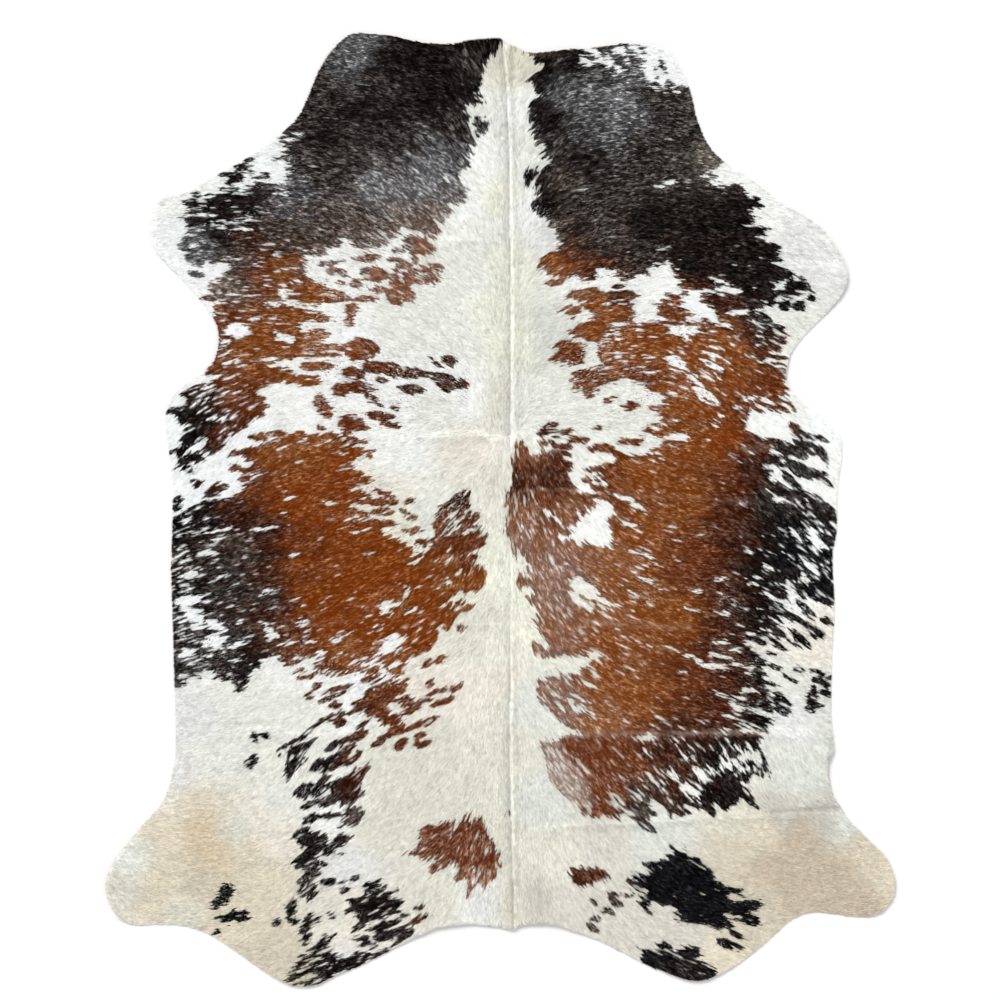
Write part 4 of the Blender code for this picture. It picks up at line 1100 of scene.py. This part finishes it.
fleck_stations = by_column(FLECK_COLUMNS, FLECKS)
fleck_facts = np.stack([fleck_stations["percent"], fleck_stations["paleness_and_glint"]], axis=1)
fleck_facts = blended(fleck_stations, fleck_facts, FLECK_FALLOFF)
fleck_noise = mixed_streaks(FLECK_STREAKS)
shares = np.linspace(0.0, MOST_FLECKS, SHARE_STEPS)
limits = np.quantile(fleck_noise, 1 - shares)
fleck_limit = np.interp(fleck_facts[..., 0] / 100, shares, limits)
flecks = np.clip((fleck_noise - fleck_limit) * FLECK_SHARPNESS, 0, 1) * fleck_facts[..., 1]
print("share of flecks in the dark coat:", round(float(flecks[both_depths > 2].mean()), 4))

# %% [markdown]
# ## Painted sheen, dust and shade on the folds
#
# Along the crests of the folds the coat is painted paler: partly a painted sheen where a crest catches
# the light, partly pale dust. In a crease the coat is darkened by painted shade, and a line above zero
# would be painted paler; such lines also paint the shadow under the lifted hem and in a notch of the edge.
# Both are soft lines that fade away to their sides. The spine is a fold of its own: its left flank falls
# away softly into painted shade, and a thin painted highlight stands along its right.

# %% Soft lines
LINE_COLUMNS = (*STROKE_COLUMNS, "strength")
# painted sheen and pale dust along the crests of the folds
CREST_SHEEN_AND_DUST = (
    (556, 735, 764, 732, 3.0, 0.42), (520, 490, 576, 489, 1.6, 0.30), (576, 492, 745, 501, 2.5, 0.14),
    (744, 449, 768, 446, 3.0, 0.25), (585, 622, 690, 628, 3.0, 0.25), (250, 626, 345, 622, 3.0, 0.12),
    (530, 55, 560, 58, 2.5, 0.10), (300, 301, 250, 300, 2.0, 0.15),
)
CREASE_SHADES = (                  # painted shade in creases, under the lifted hem and in the notch of the right edge: darker below zero, paler above
    (700, 818, 770, 811, 1.5, -0.10), (770, 811, 841, 806, 1.7, -0.30),
    (831, 738, 828, 758, 2.0, -0.30), (480, 430, 503, 427, 1.4, -0.12),
    (470, 428, 490, 431, 1.5, -0.07), (400, 452, 470, 446, 1.8, -0.05),
    (380, 470, 470, 462, 1.8, -0.04), (540, 818, 620, 826, 1.7, -0.07),
    (500, 826, 560, 834, 1.7, -0.06), (780, 236, 830, 232, 1.5, -0.08),
    (775, 255, 838, 258, 1.5, -0.07), (180, 722, 300, 724, 1.8, -0.04),
    (390, 738, 480, 742, 2.0, -0.05), (488, 925, 503, 928, 1.0, -0.5), (518, 926, 548, 924, 1.3, -0.6),
)


def line_map(table):
    """A map of soft lines. Where two of them meet, the stronger one holds."""
    lines = np.zeros(columns.shape)
    for line in by_row(LINE_COLUMNS, table):
        part = window_of(line)
        start, end = (line["column"], line["row"]), (line["to_column"], line["to_row"])
        away = away_from_line(columns[part], rows[part], start, end)
        soft = line["strength"] * np.exp(-(away / line["half_width"]) ** 2)
        lines[part] = np.where(np.abs(soft) > np.abs(lines[part]), soft, lines[part])
    return lines


crest_sheen_and_dust = line_map(CREST_SHEEN_AND_DUST)
fold_shading = line_map(CREASE_SHADES)
print(len(CREST_SHEEN_AND_DUST), "dusted crests and", len(CREASE_SHADES), "fold_shading")

# %% The fold of the spine
SPINE_COLUMNS = ("row", "column", "shade", "spine_highlight")
SPINE = (
    (40, 501, 1.1, 0.2), (62, 504, 1.0, 0.2), (100, 507.5, 1.15, 0.9), (120, 508, 1.25, 0.9),
    (160, 509.5, 1.25, 0.9), (200, 509.5, 1.15, 0.9), (240, 510, 1.0, 0.6), (300, 511, 1.1, 1.0),
    (360, 510.5, 1.1, 1.0), (410, 510, 0.9, 1.0), (436, 510, 0.8, 0.8), (450, 510, 0.15, 0.3),
    (560, 510, 0.2, 0.5), (640, 510, 0.8, 0.2), (700, 510, 1.0, 0.8), (760, 509.5, 1.0, 0.6),
    (820, 511, 1.0, 0.8), (880, 513, 1.1, 0.6), (926, 514, 1.2, 0.5),
)
SPINE_SHADE, SHADE_WIDTH = -0.36, 4.5          # painted shade on the left flank, and pixels over which it fades
SPINE_HIGHLIGHT, HIGHLIGHT_PLACE, HIGHLIGHT_WIDTH = 0.20, 1.6, 1.6     # a painted highlight, right of the fold by so many pixels

spine = by_column(SPINE_COLUMNS, SPINE)


def down_spine(fact):
    """A fact of the spine's table, at every place of the maps."""
    return np.interp(rows, spine["row"], spine[fact], left=0, right=0)


past = columns - down_spine("column")
# painted shade on the left flank of the spine's fold, and a painted highlight along its right
flank = np.where(past <= 0, SPINE_SHADE * np.exp(np.minimum(past, 0) / SHADE_WIDTH), 0)
spine_highlight = SPINE_HIGHLIGHT * np.exp(-(((past - HIGHLIGHT_PLACE) / HIGHLIGHT_WIDTH) ** 2))
fold_shading += down_spine("shade") * flank + down_spine("spine_highlight") * spine_highlight
print("creases from", round(float(fold_shading.min()), 2), "to", round(float(fold_shading.max()), 2))

# %% [markdown]
# ## One question for every hair
#
# Skin and hair both ask the same thing: what colour is the coat here? The answer blends the white and
# the dark tone by the torn depth, paints shade along the edges of the patches, lays the flecks over it,
# paints sheen and dust on the crests, and paints shade in the creases and a highlight on the spine.
# The place at which a dark tone is read is shaken along the streaks, so that one tone passes into the
# next hair by hair. Each hair adds its own small chance, so no two beside it are quite alike, and the
# palest dark hairs stand partly for painted glints of light.

# %% The colour at a place
SHAKE = 5.0                  # pixels by which streaks move the place where a tone is read
EDGE_SHARPNESS = 1.1         # how much darkness one pixel of depth brings
GRAIN_SHARE, LOCK_SHARE, CHANCE_SHARE = 0.75, 0.15, 0.60     # of streaks and of chance in the grain
MIDDLE_PALENESS, MOST_PALENESS = 0.5, 1.25
PALE_AND_GLINTING_HAIRS = 3.0             # a higher power leaves fewer pale hairs among the deep ones; these pale hairs are partly painted glints
DARK_SPREAD, WHITE_SPREAD = 0.35, 0.12
LEAST_WHITE, MOST_WHITE = 0.4, 1.25   # limits to what the grain does to a white tone
RIM_SHADE, RIM_WIDTH = 0.35, 2.5      # painted shade: a patch is darker along its edge
# the pale tone of the painted sheen and dust on the crests
SHEEN_AND_DUST_TONE = to_linear((164, 140, 122))
SHEEN_AND_DUST_GRAIN, MOST_SHEEN_AND_DUST = 0.6, 0.9
DARKEST, BRIGHTEST = 0.0005, 0.97     # no hair is quite black, and none throws back all light


def coat_colour(column, row, chance):
    """The colour of the coat at places. Each hair brings its own chance, with a spread of 1."""
    shaken_column = column + SHAKE * look_up(streak["tuft"], column, row)
    shaken_row = row + SHAKE * look_up(streak["lock"], column, row)
    inside = look_up(torn, column, row)
    darkness = np.clip(inside * EDGE_SHARPNESS + 0.5, 0, 1)
    darkness *= 1 - look_up(flecks, column, row)
    grain = GRAIN_SHARE * look_up(streak["grain"], column, row)
    grain = grain + LOCK_SHARE * look_up(streak["lock"], column, row)
    grain = (grain + CHANCE_SHARE * chance)[..., None]
    pair = look_up(dark_tones, shaken_column, shaken_row)
    # pale hairs in the dark coat, partly painted glints of light on glossy hair
    paleness_and_glint = np.clip(MIDDLE_PALENESS + DARK_SPREAD * grain, 0, MOST_PALENESS) ** PALE_AND_GLINTING_HAIRS
    dark = pair[..., :3] * (1 - paleness_and_glint) + pair[..., 3:] * paleness_and_glint
    # painted shade along the edge of each patch
    dark = dark * (1 - RIM_SHADE * np.exp(-np.clip(inside, 0, None) / RIM_WIDTH))[..., None]
    # painted sheen and dust on the crests of the folds
    sheen_and_dust = look_up(crest_sheen_and_dust, column, row)[..., None] * (1 + SHEEN_AND_DUST_GRAIN * grain)
    sheen_and_dust = np.clip(sheen_and_dust, 0, MOST_SHEEN_AND_DUST)
    dark = dark * (1 - sheen_and_dust) + SHEEN_AND_DUST_TONE * sheen_and_dust
    white = look_up(white_tones, column, row)
    white = white * np.clip(1 + WHITE_SPREAD * grain, LEAST_WHITE, MOST_WHITE)
    mixed = white * (1 - darkness[..., None]) + dark * darkness[..., None]
    # painted shade in the creases and on the spine's left flank, and a painted highlight along the spine
    mixed = mixed * (1 + look_up(fold_shading, column, row)[..., None])
    return np.clip(mixed, DARKEST, BRIGHTEST)


# %% [markdown]
# ## The skin
#
# Under the hair is soft leather about 2.4 mm thick. It has the very folds of the solid, so a copy of the
# solid is the best start: its loose triangles are merged, the floor side and the wall go, and the upper
# face that is left is cut finer and given a new wall. The hair side takes the colours of the maps, and
# the flesh side is pale suede.

# %% Cutting the skin out of the solid
COAT_DEPTH = 0.0024          # height of the lying coat over the leather
LEATHER = 0.0024
FINER_CUTS = 3
MERGE_DISTANCE = 0.00001     # the solid's triangles share no corners until they are merged
FACES_UP = 0.5               # a face whose normal rises by more than this belongs to the upper side
QUAD_TURN = 1.2              # radians by which two triangles may differ from a flat, square quad


def select_faces(thing, wanted):
    """Selects the faces of the mesh in edit mode for which wanted(face) is true."""
    bpy.ops.mesh.select_all(action="DESELECT")
    sheet = bmesh.from_edit_mesh(thing.data)
    for face in sheet.faces:
        face.select = wanted(face)
    sheet.select_flush_mode()
    bmesh.update_edit_mesh(thing.data)


bpy.ops.object.select_all(action="DESELECT")
skin = bpy.data.objects.new("skin", hide.data.copy())
bpy.context.scene.collection.objects.link(skin)
skin.data.materials.clear()
skin.select_set(True)
bpy.context.view_layer.objects.active = skin
bpy.ops.object.mode_set(mode="EDIT")
bpy.ops.mesh.select_mode(type="FACE")
bpy.ops.mesh.select_all(action="SELECT")
bpy.ops.mesh.remove_doubles(threshold=MERGE_DISTANCE)
select_faces(skin, lambda face: face.normal.z < FACES_UP)
bpy.ops.mesh.delete(type="FACE")
bpy.ops.mesh.select_all(action="SELECT")
bpy.ops.mesh.tris_convert_to_quads(face_threshold=QUAD_TURN, shape_threshold=QUAD_TURN)
bpy.ops.object.mode_set(mode="OBJECT")
print("upper face:", len(skin.data.polygons), "faces")

# %% Heights, as a map
OVERHEAD = 1.0               # a ray down from this height meets the upper face first
EDGE_BLUR = 5                # pixels by which the heights are carried past the cut edge
HEIGHT_BLUR = 1.1            # pixels over which the facets of the solid are smoothed
LEAST_SPREAD = 1e-3          # keeps a division from meeting zero, far off the hide

top = skin.data
top_points = [tuple(corner.co) for corner in top.vertices]
tree = BVHTree.FromPolygons(top_points, [tuple(face.vertices) for face in top.polygons])
x_map, y_map = to_metres(columns, rows)
heights = np.full(columns.shape, np.nan)
for place, (x, y) in enumerate(zip(x_map.ravel(), y_map.ravel())):
    hit = tree.ray_cast(Vector((x, y, OVERHEAD)), Vector((0, 0, -1)))
    if hit[0] is not None:
        heights.flat[place] = hit[0].z
on_hide = ~np.isnan(heights)
filled = np.where(on_hide, heights, 0)
nearness = np.maximum(softened(on_hide.astype(float), EDGE_BLUR), LEAST_SPREAD)
spread_heights = softened(filled, EDGE_BLUR) / nearness
past_edge = np.where(spread_heights > 0, spread_heights, np.nanmin(heights))
heights = softened(np.where(on_hide, filled, past_edge), HEIGHT_BLUR)
print("heights from", round(float(heights.min()), 4), "to", round(float(heights.max()), 4))

# %% How far a place lies inside the cut edge, as a map
FAR = 1e9                    # before the first piece of the edge is measured

uses = {}
for face in top.polygons:
    for edge in face.edge_keys:
        uses[edge] = uses.get(edge, 0) + 1
rim = [edge for edge, count in uses.items() if count == 1]
margin = np.full(coarse_columns.shape, FAR)
for ends in rim:
    start, end = (to_pixels(*top_points[corner][:2]) for corner in ends)
    margin = np.minimum(margin, away_from_line(coarse_columns, coarse_rows, start, end))
margin = from_coarse(np.where(on_hide[::COARSE, ::COARSE], margin, -margin))
print("cut edge of", len(rim), "pieces")

# %% Thickness and colour of the skin
bpy.ops.object.mode_set(mode="EDIT")
bpy.ops.mesh.select_all(action="SELECT")
bpy.ops.mesh.subdivide(number_cuts=FINER_CUTS, quadcorner="INNERVERT")
bpy.ops.transform.translate(value=(0, 0, -COAT_DEPTH))
bpy.ops.object.mode_set(mode="OBJECT")
wall = skin.modifiers.new("leather", "SOLIDIFY")
wall.thickness = LEATHER
wall.offset = -1
wall.use_even_offset = True
wall.material_offset = 1
wall.material_offset_rim = 1
skin.data.materials.append(bpy.data.materials.new("hair_side"))
skin.data.materials.append(bpy.data.materials.new("flesh_side"))
bpy.ops.object.modifier_apply(modifier=wall.name)
skin.data.shade_smooth()


def corners_of(thing):
    """The places of a mesh's corners as rows of x, y, z."""
    places = np.empty(len(thing.data.vertices) * 3, np.float32)
    thing.data.vertices.foreach_get("co", places)
    return places.reshape(-1, 3).astype(float)


def paint_corners(mesh, colours):
    """Stores a colour on each corner of a mesh, for its material to read."""
    layer = mesh.color_attributes.new("coat_colour", "FLOAT_COLOR", "POINT")
    four = np.ones((len(colours), 4), np.float32)
    four[:, :3] = colours
    layer.data.foreach_set("color", four.ravel())


places = corners_of(skin)
places[:, 2] = np.maximum(places[:, 2], 0)      # no thickness of leather reaches into the floor
skin.data.vertices.foreach_set("co", places.astype(np.float32).ravel())
skin.data.update()
skin_colours = coat_colour(*to_pixels(places[:, 0], places[:, 1]), np.zeros(len(places)))
paint_corners(skin.data, skin_colours)
print("skin:", len(skin.data.polygons), "faces")

# %% Hair side and flesh side
SUEDE_DARK, SUEDE_PALE = (0.47, 0.36, 0.25, 1), (0.72, 0.62, 0.49, 1)
BROAD_SHARE, NAP_SHARE = 0.7, 0.3
OBJECT_PLACE = 3             # the output of the coordinate node that gives places on the mesh
FACTOR, FIRST_COLOUR, SECOND_COLOUR, MIXED_COLOUR = 0, 6, 7, 2     # sockets of a node that mixes colours


def coat_bench(name):
    """A material that takes its colour from the corners of the mesh."""
    bench = Bench(name)
    bench.colour = bench.node("ShaderNodeAttribute", {"attribute_name": "coat_colour"}, output=0)
    return bench


bench = coat_bench("hair_side")
place = bench.node("ShaderNodeTexCoord", output=OBJECT_PLACE)
fuzz = bench.node("ShaderNodeTexNoise", inputs={"Vector": place, "Scale": 900.0, "Detail": 2.0})
bump = bench.node("ShaderNodeBump", inputs={"Height": fuzz, "Distance": 0.0006, "Strength": 0.5})
skin.data.materials[0] = bench.finish(
    Base_Color=bench.colour, Roughness=0.85, Specular_IOR_Level=0.1, Normal=bump
)

bench = Bench("flesh_side")
place = bench.node("ShaderNodeTexCoord", output=OBJECT_PLACE)
broad = bench.node("ShaderNodeTexNoise", inputs={"Vector": place, "Scale": 9.0, "Detail": 5.0})
nap = bench.node("ShaderNodeTexNoise", inputs={"Vector": place, "Scale": 700.0, "Detail": 3.0})
blend = broad * BROAD_SHARE + nap * NAP_SHARE
suede = bench.node(
    "ShaderNodeMix", {"data_type": "RGBA"},
    {FACTOR: blend, FIRST_COLOUR: SUEDE_DARK, SECOND_COLOUR: SUEDE_PALE}, output=MIXED_COLOUR,
)
bump = bench.node("ShaderNodeBump", inputs={"Height": nap, "Distance": 0.0005, "Strength": 0.6})
skin.data.materials[1] = bench.finish(Base_Color=suede, Roughness=0.95, Normal=bump)
print("materials of the skin:", [material.name for material in skin.data.materials])

# %% [markdown]
# ## One hair, then the whole coat
#
# Hair as curves would be millions of strands. A coat this short can be made of flat spikes instead:
# each stands for a few hairs that cling together, and is as wide as they are at its root and sharp at
# its tip. One is modelled by hand from a three-sided circle. Then it is set down again and again, with
# its own place, length, turn and colour. An undercoat of broad spikes hides the skin, and three sets of
# fine guard hairs over it carry the pattern.

# %% The spike
bpy.ops.object.select_all(action="DESELECT")
bpy.ops.mesh.primitive_circle_add(vertices=3, radius=0.5, fill_type="NGON", location=(0, 0, 0))
spike = bpy.context.object
spike.name = "spike"
bpy.ops.object.mode_set(mode="EDIT")
bpy.ops.mesh.select_mode(type="VERT")
bpy.ops.mesh.select_all(action="SELECT")
lowest = min(corner.co.y for corner in bmesh.from_edit_mesh(spike.data).verts)
bpy.ops.transform.translate(value=(0, -lowest, 0))
widest = 2 * max(corner.co.x for corner in bmesh.from_edit_mesh(spike.data).verts)
tallest = max(corner.co.y for corner in bmesh.from_edit_mesh(spike.data).verts)
bpy.ops.transform.resize(value=(1 / widest, 1 / tallest, 1), center_override=(0, 0, 0))
bpy.ops.object.mode_set(mode="OBJECT")
shape = corners_of(spike)
tip = int(np.argmax(shape[:, 1]))
left, right = int(np.argmin(shape[:, 0])), int(np.argmax(shape[:, 0]))
shape = shape[[left, right, tip]]
bpy.data.objects.remove(spike, do_unlink=True)
print("corners of a spike:", shape.round(2).tolist())

# %% Where the hairs are rooted
top_faces = [face for face in skin.data.polygons if face.normal.z > FACES_UP]
corner_table = corners_of(skin)
triangles = [
    (face.vertices[0], face.vertices[k], face.vertices[k + 1])
    for face in top_faces
    for k in range(1, len(face.vertices) - 1)
]
first, second, third = (corner_table[list(ids)] for ids in zip(*triangles))
areas = np.linalg.norm(np.cross(second - first, third - first), axis=1) / 2
print("hair grows on", round(float(areas.sum()), 3), "square metres")


def scatter(count, chance):
    """Even places over the skin."""
    pick = np.searchsorted(np.cumsum(areas), (np.arange(count) + 0.5) / count * areas.sum())
    pick = np.minimum(pick, len(areas) - 1)
    u, v = chance.uniform(0, 1, (2, count))
    fold = u + v > 1
    u, v = np.where(fold, 1 - u, u)[:, None], np.where(fold, 1 - v, v)[:, None]
    return first[pick] * (1 - u - v) + second[pick] * u + third[pick] * v


def in_rows(roots, across):
    """The order that lists places in rows from neck to rump, this many to a row, from left to right."""
    row = np.empty(len(roots), int)
    row[np.argsort(-roots[:, 1])] = np.arange(len(roots)) // across
    return np.lexsort((roots[:, 0], row))


def cells_across(count):
    """How many pairs of hairs lie side by side on a set's square map."""
    return math.ceil(math.sqrt(count / 2))


# %% Growing one set of hairs
YAW_SPREAD = math.radians(8)
TUFT_YAW = 0.08              # radians by which whole tufts turn together
ROLL_SPREAD, MOST_ROLL = math.radians(12), 0.9
LENGTH_SPREAD, WIDTH_SPREAD = 0.18, 0.22
LEAST_SIZE, MOST_LENGTH, MOST_WIDTH = 0.5, 1.5, 1.6     # shares of a set's own size
LEAST_RISE, MOST_RISE = 0.65, 1.35
ROOT_SINK = 0.0004
OVERHANG, LEAST_OVERHANG = 2.0, 0.3   # pixels by which hair may pass the cut edge, and a share of them
LEAST_TRIM, LEAST_RUN = 0.1, 1e-6     # the least share left of a hair, and pixels it runs outwards
DROOP, DROOP_REACH = 0.0006, 3        # hair past the edge hangs lower, by so much a pixel
OVER_FLOOR = 0.0003          # no hair lies lower than this
# painted shade at a hair's root, where the coat covers it, and painted light at its tip
ROOT_SHADE, TIP_SHADE = 0.86, 1.06
READ_AT = 0.5                # how far up a hair its colour is read


def skin_height(x, y):
    """The height of the skin under the coat."""
    return look_up(heights, *to_pixels(x, y)) - COAT_DEPTH


def pointed(column, row, count, chance):
    """The way of each hair on the floor: with the lay, and a little astray."""
    way = look_up(lay, column, row)
    yaw = chance.normal(0, YAW_SPREAD, count) + TUFT_YAW * look_up(streak["tuft"], column, row)
    forward_x = way[:, 0] * np.cos(yaw) - way[:, 1] * np.sin(yaw)
    forward_y = -(way[:, 0] * np.sin(yaw) + way[:, 1] * np.cos(yaw))
    size = np.hypot(forward_x, forward_y)
    return forward_x / size, forward_y / size


def grown(count, hair_length, hair_width, tip_rise, shade, chance):
    """The corners of a set of hairs, three to each, and their colours."""
    roots = scatter(count, chance)
    roots = roots[in_rows(roots, cells_across(count) * 2)]
    column, row = to_pixels(roots[:, 0], roots[:, 1])
    forward_x, forward_y = pointed(column, row, count, chance)
    longer = 1 + LENGTH_SPREAD * chance.normal(size=count)
    length = hair_length * np.clip(longer, LEAST_SIZE, MOST_LENGTH)
    wider = 1 + WIDTH_SPREAD * chance.normal(size=count)
    width = hair_width * np.clip(wider, LEAST_SIZE, MOST_WIDTH)

    tip_pixels = to_pixels(roots[:, 0] + forward_x * length, roots[:, 1] + forward_y * length)
    margin_root = np.maximum(look_up(margin, column, row), 0)
    margin_tip = look_up(margin, *tip_pixels)
    allowed = OVERHANG * chance.uniform(LEAST_OVERHANG, 1.0, count)
    trimmed = (margin_root + allowed) / np.maximum(margin_root - margin_tip, LEAST_RUN)
    length *= np.where(margin_tip < -allowed, np.clip(trimmed, LEAST_TRIM, 1), 1)

    reads = to_pixels(
        roots[:, 0] + forward_x * length * READ_AT, roots[:, 1] + forward_y * length * READ_AT
    )
    colours = coat_colour(*reads, chance.normal(size=count)) * shade
    roll = np.tan(np.clip(chance.normal(0, ROLL_SPREAD, count), -MOST_ROLL, MOST_ROLL))
    rise = tip_rise * chance.uniform(LEAST_RISE, MOST_RISE, count)
    corners = np.empty((count, 3, 3))
    tints = np.empty((count, 3, 3))
    for corner, (side, share, _) in enumerate(shape):
        x = roots[:, 0] + forward_x * length * share + forward_y * side * width
        y = roots[:, 1] + forward_y * length * share - forward_x * side * width
        lift = rise * share + (roll * side * width - ROOT_SINK) * (1 - share)
        outside = np.clip(-look_up(margin, *to_pixels(x, y)), 0, DROOP_REACH)
        height = np.maximum(skin_height(x, y) + lift - outside * DROOP, OVER_FLOOR)
        corners[:, corner] = np.stack([x, y, height], axis=1)
        # painted shade at the root, painted light at the tip
        tints[:, corner] = colours * (ROOT_SHADE + (TIP_SHADE - ROOT_SHADE) * share)
    return corners, tints


print("skin under the coat, mid hide:", round(float(skin_height(0.0, 0.0)), 4), "m up")

# %% One mesh for a set of hairs
HALF_CELLS = (               # two hairs share a square cell, the second the other way round
    ((0.06, 0.03), (0.94, 0.03), (0.06, 0.91)),
    ((0.94, 0.97), (0.06, 0.97), (0.94, 0.09)),
)


def joined_hairs(name, corners, tints):
    """One mesh of many hairs. On its map each pair of them fills a square cell of its own."""
    count = len(corners)
    mesh = bpy.data.meshes.new(name)
    mesh.vertices.add(count * 3)
    mesh.vertices.foreach_set("co", corners.astype(np.float32).ravel())
    mesh.loops.add(count * 3)
    mesh.loops.foreach_set("vertex_index", np.arange(count * 3, dtype=np.int32))
    mesh.polygons.add(count)
    mesh.polygons.foreach_set("loop_start", np.arange(0, count * 3, 3, dtype=np.int32))
    mesh.update(calc_edges=True)
    paint_corners(mesh, tints.reshape(-1, 3))
    across = cells_across(count)
    pair, half = np.divmod(np.arange(count), 2)
    cell = np.stack([pair % across, pair // across], axis=1)[:, None, :]
    places = (cell + np.array(HALF_CELLS)[half]) / across
    mesh.uv_layers.new(name="OFBake").data.foreach_set("uv", places.astype(np.float32).ravel())
    made = bpy.data.objects.new(name, mesh)
    bpy.context.scene.collection.objects.link(made)
    return made


bench = coat_bench("hair")
hair = bench.finish(Base_Color=bench.colour, Roughness=0.7, Specular_IOR_Level=0.0)
print("material of the coat:", hair.name)

# %% Undercoat and guard hairs
HAIRS_A_SET = 196_000
SET_COLUMNS = ("hair_length", "hair_width", "tip_rise", "shade")
SETS = {
    # the undercoat's shade of 0.95 is painted shade, for the dark under the guard hairs
    "undercoat": (0.0140, 0.0036, 0.0010, 0.95),
    "guard_hair_1": (0.0088, 0.0021, 0.0018, 1.0),
    "guard_hair_2": (0.0088, 0.0021, 0.0020, 1.0),
    "guard_hair_3": (0.0088, 0.0021, 0.0022, 1.0),
}
COAT_SEED = 2718             # one chance for all the sets, so that no two fall alike

chance = np.random.default_rng(COAT_SEED)
coats = []
for name, sizes in SETS.items():
    facts = dict(zip(SET_COLUMNS, sizes))
    coat = joined_hairs(name, *grown(HAIRS_A_SET, chance=chance, **facts))
    coat.data.materials.append(hair)
    coats.append(coat)
    print(name, len(coat.data.polygons), "triangles, a map of", cells_across(HAIRS_A_SET), "cells across")

# %% [markdown]
# ## The pieces on one body
#
# The skin stands for the solid hide and is a sheet laid on the floor, with the four pieces of its coat
# on it. All of them rest on the same body.

# %% Bodies
for piece in (skin, *coats):
    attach(piece, "root")
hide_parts("hide")
